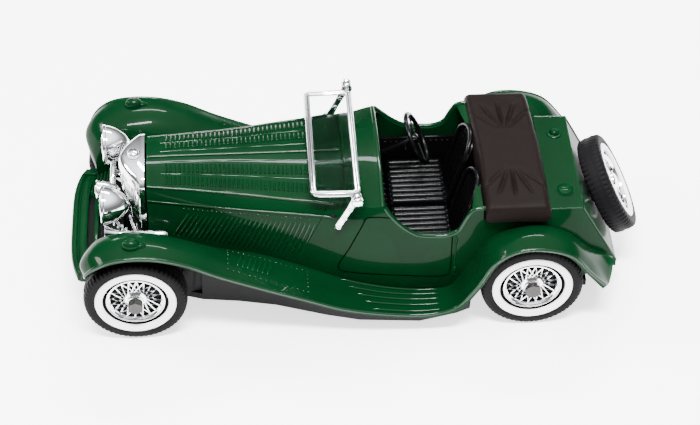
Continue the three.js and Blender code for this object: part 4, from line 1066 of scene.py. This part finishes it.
class ROADSTER_OT_lamps(bpy.types.Operator):
    """Builds the headlamps, the centre lamp, their bar and the two horns"""
    bl_idname = "roadster.lamps"
    bl_label = "Lamps and horns"

    def execute(self, context):
        for side, sign in (("left", -1), ("right", 1)):
            place = along_car(-44.8, sign * 7.9, 21.9)
            piece_of(f"headlamp_bowl_{side}", bowl(HEADLAMP_RADIUS, 5, place), "bright_plating",
                     nodes=[f"headlamp_{side}"])
            piece_of(f"headlamp_glass_{side}", lens(HEADLAMP_RADIUS, place), "lamp_lens",
                     nodes=[f"headlamp_lens_{side}"])
        place = along_car(-46.1, 0, 18.1)
        piece_of("centre_lamp_bowl", bowl(CENTRE_LAMP_RADIUS, 4.2, place), "bright_plating",
                 nodes=["driving_lamp"])
        piece_of("centre_lamp_glass", lens(CENTRE_LAMP_RADIUS, place), "lamp_lens",
                 nodes=["driving_lamp_lens"])

        bar = Shape()
        half = [(-43.2, 7.0, 18.6), (-43.3, 6.2, 17.6), (-43.4, 4.6, 16.4), (-43.4, 2.4, 15.6),
                (-43.4, 0, 15.5)]
        path = smooth_path([*half, *[(x, -y, z) for x, y, z in half[-2::-1]]], 60)
        bar.tube(path, 0.52, 12, flat=0.8)
        bar.capsule((-43.6, 0, 15.5), (-44.2, 0, 16.6), 0.5, 0.5, (1, 0, 0))
        for sign in (-1, 1):
            stay = [(-43.3, sign * 6.4, 17.5), (-42, sign * 6.9, 15.4), (-40.6, sign * 7.2, 13.6)]
            bar.tube(smooth_path(stay, 12), 0.42, 10)
            for k in range(4):
                x, z = -42.9 + 0.65 * k, 16.6 - 0.7 * k
                bar.capsule((x, sign * 6.1, z), (x, sign * 7.6, z), 0.2, 0.24)
        piece_of("lamp_bar_curve", bar, "bright_plating", nodes=["lamp_bar"], smooth=60)

        mouth, tail = Vector((-44.5, 9.9, 17)), Vector((-33.4, 10, 16.3))
        along = (tail - mouth).normalized()
        turn = Vector((0, 1, 0)).rotation_difference(along).to_matrix().to_4x4()
        reach = (tail - mouth).length
        horn = Shape().turned([
            (0.01, 1.9), (0.35, 1.6), (0.75, 0.6), (1.22, 0.06), (1.36, -0.02), (1.42, 0.1), (1.3, 0.35),
            (0.98, 0.9), (0.72, 1.7), (0.56, 3), (0.48, 4.6), (0.5, reach - 4.2), (0.62, reach - 4),
            (0.62, reach - 3.7), (0.78, reach - 3.5), (0.8, reach - 0.7), (0.66, reach - 0.25),
            (0.3, reach), (0.01, reach)],
            40, Matrix.Translation(mouth) @ turn)
        piece_of("horn_trumpet_right", horn, "bright_plating", nodes=["horn_right"], smooth=45)
        piece_of("horn_trumpet_left", horn.mirrored(), "bright_plating", nodes=["horn_left"], smooth=45)
        return {"FINISHED"}


# ------------------------------------------------------------------ windscreen
HINGE_X, SCREEN_Z = -0.85, 27.7


class ROADSTER_OT_windscreen(bpy.types.Operator):
    """Builds the folding windscreen frame with its grooved bars, pane, posts and knobs"""
    bl_idname = "roadster.windscreen"
    bl_label = "Windscreen"

    def execute(self, context):
        corners = [(HINGE_X, 13.0), (-7.95, 12.8), (-7.95, -12.8), (HINGE_X, -13.0)]
        path = []
        for n, (x, y) in enumerate(corners):
            for other in (corners[n - 1], corners[(n + 1) % 4]):
                step = Vector((other[0] - x, other[1] - y)).normalized() * 0.45
                path.append(Vector((x + step.x, y + step.y, SCREEN_Z)))
        frame_shape = Shape()
        frame_shape.tube(self.spread(path, 0.4), 0.4, 12, closed=True)
        frame_shape.tube(self.spread(path, -0.4), 0.4, 12, closed=True)
        frame_shape.tube(self.spread(path, 0), 0.32, 8, closed=True, flat=0.9)
        for sign in (-1, 1):
            trunnion = [(HINGE_X, sign * y, SCREEN_Z) for y in (13.1, 15.3)]
            frame_shape.tube(trunnion, 0.44, 20)
            frame_shape.capsule((-7.4, sign * 13.55, 27.6), (-1.6, sign * 13.7, 27.6), 0.14, 0.25)
        piece_of("screen_frame", frame_shape, "bright_plating", "windscreen", ["windscreen_frame"], 60)

        pane = Shape().slab((-7.4, -12.4, 27.6), (-1.5, 12.4, 27.8))
        piece_of("screen_glass", pane, "screen_clear", "windscreen", ["windscreen_pane"], edges=0.05)

        for side, sign in (("left", -1), ("right", 1)):
            post = Shape()
            foot, top = Vector((-4.25, 14.4, 20.5)), Vector((-1.15, 14.6, 27.2))
            radii = [0.55, 0.72, 0.68, 0.62, 0.62, 0.62, 0.66, 0.72, 0.7]
            post.tube([foot.lerp(top, k / 8) for k in range(9)], radii, 12, flat=0.55, up=(0, 1, 0))
            for share in (0.1, 0.42, 0.72):
                spot = foot.lerp(top, share)
                post.turned([(0.2, -0.5), (0.42, -0.5), (0.42, 0.5), (0.2, 0.5)], 16,
                            Matrix.Translation(spot))
            post.turned([(0.46, -0.5), (1.0, -0.5), (1.0, 0.5), (0.46, 0.5)], 28,
                        Matrix.Translation((HINGE_X, 14.6, SCREEN_Z)))
            grip = [(0.01, 0.3), (0.85, 0.3), (0.97, 0.42), (0.97, 0.72), (0.8, 0.9), (0.01, 0.95)]
            knob = Shape().turned(grip, 28, Matrix.Translation((HINGE_X, 15.1, SCREEN_Z)))
            for k in range(10):
                angle = 2 * math.pi * k / 10
                x, z = HINGE_X + 0.93 * math.cos(angle), SCREEN_Z + 0.93 * math.sin(angle)
                knob.capsule((x, 15.42, z), (x, 15.86, z), 0.1, 0.1)
            if sign < 0:
                post, knob = post.mirrored(), knob.mirrored()
            piece_of(f"screen_post_{side}", post, "bright_plating", nodes=[f"windscreen_post_{side}"],
                     smooth=50, edges=0.06)
            piece_of(f"screen_knob_{side}", knob, "bright_plating", "windscreen",
                     [f"windscreen_nut_{side}"], 45)
        # Near-black domes on the scuttle's sides stand for two holes; their dark is painted shade.
        holes = Shape().dome((-4.8, 13.15, 22.4), (0.42, 0.22, 0.42), 8, 14)
        piece_of("scuttle_hole_shade", holes.both_sides(), "green_paint", finish="painted_shade")
        return {"FINISHED"}

    def spread(self, path, amount):
        """The bar's path moved outwards in the plane of the screen."""
        centre = Vector((-4.4, 0, SCREEN_Z))
        moved = []
        for point in path:
            away = point - centre
            moved.append(point + Vector((math.copysign(amount, away.x), math.copysign(amount, away.y), 0)))
        return moved


# ------------------------------------------------------------------ cockpit
STEERING_CENTRE, STEERING_TILT = (11.4, 7, 21.6), math.radians(26)


class ROADSTER_OT_cockpit(bpy.types.Operator):
    """Builds the dashboard, steering wheel, column and the moulded tub lining"""
    bl_idname = "roadster.cockpit"
    bl_label = "Cockpit"

    def execute(self, context):
        outline = self.dash_outline()
        panel = Shape().loft([[Vector((x, y * 0.985, z)) for y, z in outline] for x in (2.3, 2.9, 3.2)])
        piece_of("dashboard_panel", panel, "interior_moulding", nodes=["dashboard"], edges=0.12)
        dials = Shape()
        for y, z, radius in ((2.3, 20.9, 1.25), (-0.6, 21.1, 0.75), (4.6, 19.2, 0.6), (-3, 20.9, 1.0),
                             (9.9, 20.6, 1.1)):
            place = along_car(3.1, y, z)
            bezel = [(radius * 0.8, 0.05), (radius, 0.05), (radius, 0.3), (radius * 0.9, 0.4),
                     (radius * 0.8, 0.3)]
            dials.turned(bezel, 28, place)
            face = [(0.01, 0.05), (radius * 0.78, 0.05), (radius * 0.78, 0.2), (0.01, 0.2)]
            dials.turned(face, 28, place)
        for k in range(5):
            dials.dome((3.3, -0.9 + 0.75 * k, 18.3), (0.35, 0.22, 0.22), 6, 10)
        piece_of("dashboard_dials", dials, "interior_moulding", smooth=50)

        tilt = Matrix.Rotation(-STEERING_TILT, 4, "Y")
        place = Matrix.Translation(STEERING_CENTRE) @ tilt @ Matrix.Rotation(-math.pi / 2, 4, "Z")
        wheel = Shape()
        ring = [place @ round_y(4.68, 0, 2 * math.pi * k / 60) for k in range(60)]
        wheel.tube(ring, 0.44, 12, closed=True)
        for k in range(4):
            angle = math.pi / 4 + k * math.pi / 2
            for offset in (-0.26, 0.26):
                aside = Vector((-offset * math.sin(angle), 0, offset * math.cos(angle)))
                a, b = round_y(0.5, 0, angle) + aside, round_y(4.6, 0.05, angle) + aside
                wheel.tube([place @ a, place @ b], 0.13, 6)
        boss = [(0.01, -0.5), (0.55, -0.5), (0.9, -0.15), (0.9, 0.15), (0.6, 0.35), (0.01, 0.42)]
        wheel.turned(boss, 24, place)
        piece_of("steering_wheel_rim", wheel, "control_moulding", nodes=["steering_wheel"], smooth=60)

        along = Vector((math.cos(STEERING_TILT), 0, math.sin(STEERING_TILT)))
        top = Vector(STEERING_CENTRE) - along * 0.75
        foot = top - along * ((top.x - 3.6) / along.x)
        column = Shape().tube([foot, foot.lerp(top, 0.12), foot.lerp(top, 0.14), foot.lerp(top, 0.85), top],
                              [0.75, 0.7, 0.45, 0.45, 0.55], 14)
        column.capsule(foot.lerp(top, 0.8), foot.lerp(top, 0.8) + Vector((0, -2.3, 0.5)), 0.17, 0.17)
        piece_of("steering_shaft", column, "control_moulding", nodes=["steering_column"], smooth=50)

        tub = Shape()
        tub.slab((4.4, -13.0, 7.6), (20.9, 13.0, 8.75))
        side = ((4.4, 16.9), (20.8, 16.9), (20.8, 8.7), (4.4, 8.7))
        tub.merge(Shape().across(side, 12.5, 13.0).both_sides())
        tub.slab((20.3, -13, 8.7), (20.85, 13, 16.9))
        ridges = Shape()
        for k in range(14):
            ridges.capsule((5.2 + 1.05 * k, 12.48, 10), (5.2 + 1.05 * k, 12.48, 16.2), 0.3, 0.2, (0, 1, 0))
        tub.merge(ridges.both_sides())
        for k in range(18):
            tub.capsule((4.9, -11.9 + 1.4 * k, 8.75), (6.3, -11.9 + 1.4 * k, 8.75), 0.25, 0.16)
        piece_of("cockpit_tub", tub, "interior_moulding", nodes=["interior_tub"], edges=0.1)
        return {"FINISHED"}

    def dash_outline(self):
        half = [(y, z) for y, z in body_half(2.8, 1.45) if z > 17]
        half = [(half[0][0], 17), *half]
        return half + [(-y, z) for y, z in half[-2::-1]]


class ROADSTER_OT_seats(bpy.types.Operator):
    """Builds the two bucket seats: pleated cushions and backs with rolled rims"""
    bl_idname = "roadster.seats"
    bl_label = "Seats"

    def cushion(self):
        shape = Shape().slab((6.6, 0.6, 9.1), (16.5, 12.0, 11.75))
        count = sizes().pleats
        pitch = 11.5 / count
        for k in range(count):
            y = 0.55 + pitch * (k + 0.5)
            shape.capsule((6.45, y, 11.6), (16.55, y, 11.62), pitch * 0.49, 0.68, sides=12, steps=4)
        for k in range(count):
            y = 0.55 + pitch * (k + 0.5)
            shape.capsule((6.6, y, 11.5), (6.6, y, 9.4), pitch * 0.46, 0.3, up=(1, 0, 0), sides=10)
        return shape

    def back(self):
        centre, half = 5.9, 4.3
        foot_z, arch_z, arch_rise = 9.5, 20.4, 3.4
        lean = math.tan(0.24)

        def place(y, z, forward=0.0):
            dish = 0.9 * (1 - ((y - centre) / half) ** 2)
            return Vector((17.1 + (z - foot_z) * lean - forward + dish * 0.8 - 0.4, y, z))

        arch = [(centre - half, z) for z in (foot_z, 13, 17)]
        for k in range(21):
            turn = math.pi * (1 - k / 20)
            arch.append((centre + half * math.cos(turn), arch_z + arch_rise * math.sin(turn)))
        arch += [(centre + half, z) for z in (17, 13, foot_z)]
        rim = Shape().tube([place(y, z) for y, z in arch], 0.46, 10, up=(1, 0, 0))
        rows = []
        for n in range(24):
            z = foot_z + 13.9 * n / 23
            wide = half
            if z >= arch_z:
                wide = half * math.sqrt(max(1 - ((z - arch_z) / arch_rise) ** 2, 0.02))
            run = [centre - wide + 2 * wide * k / 36 for k in range(37)]
            pleats = [0.22 * abs(math.sin((y - centre + 0.6) * math.pi / 1.15)) for y in run]
            front = [place(y, z, pleat - 0.25) for y, pleat in zip(run, pleats)]
            rows.append(front + [place(y, z, -0.75) for y in run[::-1]])
        return rim.loft(rows)

    def execute(self, context):
        seat = self.cushion().merge(self.back())
        piece_of("seat_bucket_right", seat, "interior_moulding", nodes=["seat_right"], smooth=50)
        piece_of("seat_bucket_left", seat.mirrored(), "interior_moulding", nodes=["seat_left"], smooth=50)
        return {"FINISHED"}


# ------------------------------------------------------------------ hood and deck
def crease_depth(x, y):
    """Fan-shaped folds pressed in both sides of the hood's top."""
    reach, deepest, half_width = 7.2, 0.42, 0.3
    depth = 0.0
    for number in range(5):
        angle = math.radians(-42 + 21 * number)
        run = Vector((math.sin(angle), math.cos(angle)))
        offset = Vector((x - (26.0 + 0.45 * number), abs(y) - 5.2))
        along = offset.dot(run)
        aside = abs(offset.dot(Vector((run.y, -run.x))))
        if 0 < along < reach:
            bell = math.exp(-(aside / half_width) ** 2)
            depth = max(depth, deepest * bell * math.sin(math.pi * along / reach) ** 0.5)
    return depth


class ROADSTER_OT_hood(bpy.types.Operator):
    """Builds the folded hood with its fan creases and turned-down ends"""
    bl_idname = "roadster.hood"
    bl_label = "Folded hood"

    def execute(self, context):
        crown_half = 14.4
        sections = []
        for n in range(57):
            share = n / 56
            x = 21.5 + 11.3 * share
            nose, tail = 1 - min(share / 0.09, 1), 1 - min((1 - share) / 0.12, 1)
            drop = 1.15 * (1 - math.sqrt(1 - nose ** 2)) + 1.5 * (1 - math.sqrt(1 - tail ** 2))
            skirt = 21.3 + 0.35 * math.sin(3.2 * share + 0.4) + 0.5 * nose + 1.1 * tail
            side = [(15.1, skirt), (15.45, skirt + 0.05), (15.57, skirt + 0.5), (15.5, 22.8), (15.42, 23.6),
                    (15.3, 24.3 - drop * 0.7), (15.0, 24.75 - drop * 0.85),
                    (crown_half, 24.98 - drop)]
            top = []
            for k in range(1, 49):
                y = crown_half * (1 - k / 48)
                out = y / crown_half
                swell = 0.32 * (1 - out ** 2) + 0.05 * math.sin(y * 1.3 + x * 0.7) * out
                top.append((y, 25.0 + swell - drop - crease_depth(x, y)))
            half = [(14.8, 21.32), *side, *top]
            left = symmetric(x, half)[len(half):]
            # The right-hand half is drawn forward towards its outer end, the left-hand half isn't.
            sections.append([Vector((x - 0.05 * y, y, z)) for y, z in half] + left)
        piece_of("hood_cover", Shape().loft(sections), "hood_moulding", nodes=["hood"], smooth=50)
        return {"FINISHED"}


class ROADSTER_OT_deck(bpy.types.Operator):
    """Builds the two filler caps and the beads round the deck"""
    bl_idname = "roadster.deck"
    bl_label = "Deck fittings"

    def execute(self, context):
        upright = Matrix.Rotation(math.pi / 2, 4, "X")
        ring = [(0.9, 0), (1.38, 0), (1.4, 0.2), (1.25, 0.33), (0.95, 0.3), (0.9, 0.1)]
        right = Shape().turned(ring, 36, Matrix.Translation((36.4, 7.4, 21.25)) @ upright)
        right.dome((36.4, 7.4, 21.35), (0.85, 0.85, 0.85), 12, 24)
        piece_of("filler_dome_right", right, "green_paint", nodes=["filler_cap_right"], smooth=50)
        place = Matrix.Translation((36.4, -7.4, 21.25)) @ upright
        left = Shape()
        for profile in ([(0.01, 0), (1.4, 0), (1.4, 0.25), (1.2, 0.42), (0.01, 0.4)],
                        [(1.5, 0), (1.68, 0), (1.66, 0.16), (1.52, 0.16)]):
            left.turned(profile, 36, place)
        left.capsule((35.6, -7.4, 21.66), (37.2, -7.4, 21.66), 0.2, 0.22)
        piece_of("filler_disc_left", left, "green_paint", nodes=["filler_cap_left"], smooth=50)

        edges = Shape()
        edges.tube([(38.95, 12.0 * (k / 12 - 1), 21.18) for k in range(25)], 0.2, 8)
        side = [(x, body_sizes(x)[4] - 0.08, body_sizes(x)[5] - 0.06) for x in (33.4, 35, 37, 38.95)]
        tail = [(x, body_sizes(x)[4] - 0.05, body_sizes(x)[5])
                for x in (DECK_REAR + 1.18 * k for k in range(7))]
        half = Shape().tube(side, 0.18, 8).tube(tail, 0.18, 8)
        edges.merge(half.both_sides())
        raised("deck_edges", edges)
        return {"FINISHED"}


class ROADSTER_OT_skirts(bpy.types.Operator):
    """Builds the black skirts that close the sills behind the front wheels, black partly as the baseplate's
    moulding and partly as painted shade under the wings
    """
    bl_idname = "roadster.skirts"
    bl_label = "Sill shade skirts"

    def execute(self, context):
        outline = [(-33.6, 3.4), (-27.4, 2.6), (-24, 2.6), (-24, 9.6), (-27.4, 11.6), (-31.2, 12.4),
                   (-33.0, 10.2)]
        skirt = Shape().across(outline, 11.4, 11.9)
        for k in range(3):
            skirt.capsule((-31.8 + 2.2 * k, 11.9, 4.2), (-31.2 + 2.2 * k, 11.9, 9.2), 0.22, 0.2, (0, 1, 0))
        # Their black is partly the baseplate's moulding colour and partly painted shade under the wings.
        piece_of("sill_shade_skirts", skirt.both_sides(), "baseplate_black", edges=0.12)
        return {"FINISHED"}


class ROADSTER_OT_fixings(bpy.types.Operator):
    """Finishes the solids that keep their own shape: axles, rivets, baseplate and spare bracket"""
    bl_idname = "roadster.fixings"
    bl_label = "Axles and baseplate"

    def execute(self, context):
        for node in ("front_axle", "rear_axle", "front_rivet", "rear_rivet", "spare_bracket"):
            refinish(node, "axle_steel")
        refinish("baseplate", "baseplate_black")
        return {"FINISHED"}


# ------------------------------------------------------------------ stage
def softbox(name, place, size, power, colour=(1, 1, 1)):
    """A soft rectangular light aimed at the car."""
    light = bpy.data.lights.new(name, "AREA")
    light.shape, light.size, light.size_y = "RECTANGLE", size[0], size[1]
    light.energy, light.color = power, colour
    lamp = bpy.data.objects.new(name, light)
    lamp.location = place
    lamp.rotation_euler = (Vector((0, 0, 0.01)) - Vector(place)).to_track_quat("-Z", "Y").to_euler()
    bpy.context.scene.collection.objects.link(lamp)


class ROADSTER_OT_stage(bpy.types.Operator):
    """Sets up the camera, the pale floor and the soft studio lights"""
    bl_idname = "roadster.stage"
    bl_label = "Studio"

    def camera(self):
        yaw, rise, roll = (math.radians(a) for a in (-4.21, 43.98, 0.89))
        back = Vector((math.sin(yaw) * math.cos(rise), -math.cos(yaw) * math.cos(rise), math.sin(rise)))
        right = (-back).cross(Vector((0, 0, 1))).normalized()
        up = right.cross(-back)
        level = right.copy()
        right = level * math.cos(roll) + up * math.sin(roll)
        up = up * math.cos(roll) - level * math.sin(roll)
        optics = bpy.data.cameras.new("camera")
        optics.sensor_width, optics.lens = 36, 105.9
        optics.clip_start, optics.clip_end = 0.02, 20
        camera = bpy.data.objects.new("camera", optics)
        turn = Matrix((right, up, back)).transposed().to_4x4()
        camera.matrix_world = Matrix.Translation(Vector((-20.65, -267.8, 269.5)) * MM) @ turn
        bpy.context.scene.collection.objects.link(camera)
        bpy.context.scene.camera = camera

    def room(self):
        """A room that is bright overhead and dim towards its walls."""
        world = bpy.data.worlds.new("studio")
        world.use_nodes = True
        nodes, links = world.node_tree.nodes, world.node_tree.links
        backdrop = nodes["Background"]
        place = nodes.new("ShaderNodeTexCoord")
        parts = nodes.new("ShaderNodeSeparateXYZ")
        ramp = nodes.new("ShaderNodeValToRGB")
        ramp.color_ramp.elements.new(0.5)
        levels = ((0.3, 0.07), (0.55, 0.24), (0.85, 1.0))
        for stop, (position, level) in zip(ramp.color_ramp.elements, levels):
            stop.position, stop.color = position, (0.95 * level, 0.97 * level, level, 1)
        links.new(place.outputs["Generated"], parts.inputs[0])
        links.new(parts.outputs["Z"], ramp.inputs[0])
        links.new(ramp.outputs[0], backdrop.inputs["Color"])
        backdrop.inputs["Strength"].default_value = 3.1
        bpy.context.scene.world = world

    def execute(self, context):
        self.camera()
        grid, reach, below_tyres = 24, 1.6, -0.00002
        row = grid + 1
        floor = bpy.data.meshes.new("floor")
        points = [(reach * (2 * i / grid - 1), reach * (2 * j / grid - 1), below_tyres)
                  for i in range(row) for j in range(row)]
        faces = [(i * row + j, (i + 1) * row + j, (i + 1) * row + j + 1, i * row + j + 1)
                 for i in range(grid) for j in range(grid)]
        floor.from_pydata(points, [], faces)
        ground = bpy.data.objects.new("floor", floor)
        bpy.context.scene.collection.objects.link(ground)
        finish = Finish("Studio floor")
        cloud = finish.noise(90, 2)
        tone = finish.mixed(cloud, tint("floor"), tint("floor", 0.98))
        floor.materials.append(finish.shader(
            Base_Color=tone, Roughness=0.6 + cloud * 0.1, Emission_Color=tone, Emission_Strength=1.9))

        self.room()
        softbox("overhead", (0.0, -0.28, 0.85), (0.4, 0.09), 33)
        softbox("window", (-0.7, 0.15, 0.45), (0.24, 0.14), 7, (1, 0.98, 0.95))
        softbox("far strip", (0.1, 0.55, 0.75), (0.5, 0.05), 9, (0.95, 0.98, 1))
        return {"FINISHED"}


# ------------------------------------------------------------------ panel and start
OPERATORS = (
    ROADSTER_OT_stage, ROADSTER_OT_body, ROADSTER_OT_bonnet, ROADSTER_OT_wings, ROADSTER_OT_valance,
    ROADSTER_OT_wheels, ROADSTER_OT_radiator, ROADSTER_OT_lamps, ROADSTER_OT_windscreen,
    ROADSTER_OT_cockpit, ROADSTER_OT_seats, ROADSTER_OT_hood, ROADSTER_OT_deck,
    ROADSTER_OT_skirts, ROADSTER_OT_fixings,
)


class ROADSTER_PT_panel(bpy.types.Panel):
    """Lists the roadster's sizes, colours and pieces"""
    bl_idname = "ROADSTER_PT_panel"
    bl_label = "Roadster"
    bl_space_type = "VIEW_3D"
    bl_region_type = "UI"
    bl_category = "Roadster"

    def draw(self, context):
        column = self.layout.column()
        for group in (context.scene.roadster_sizes, context.scene.roadster_colours):
            for name in group.bl_rna.properties.keys():
                if name not in ("rna_type", "name"):
                    column.prop(group, name)
        for operator in OPERATORS:
            column.operator(operator.bl_idname)


CLASSES = (RoadsterSizes, RoadsterColours, *OPERATORS, ROADSTER_PT_panel)


def register():
    for item in CLASSES:
        bpy.utils.register_class(item)
    bpy.types.Scene.roadster_sizes = bpy.props.PointerProperty(type=RoadsterSizes)
    bpy.types.Scene.roadster_colours = bpy.props.PointerProperty(type=RoadsterColours)


def unregister():
    del bpy.types.Scene.roadster_colours
    del bpy.types.Scene.roadster_sizes
    for item in reversed(CLASSES):
        bpy.utils.unregister_class(item)


def main():
    register()
    make_finishes()
    for operator in OPERATORS:
        group, name = operator.bl_idname.split(".")
        getattr(getattr(bpy.ops, group), name)()


if __name__ == "__main__":
    main()
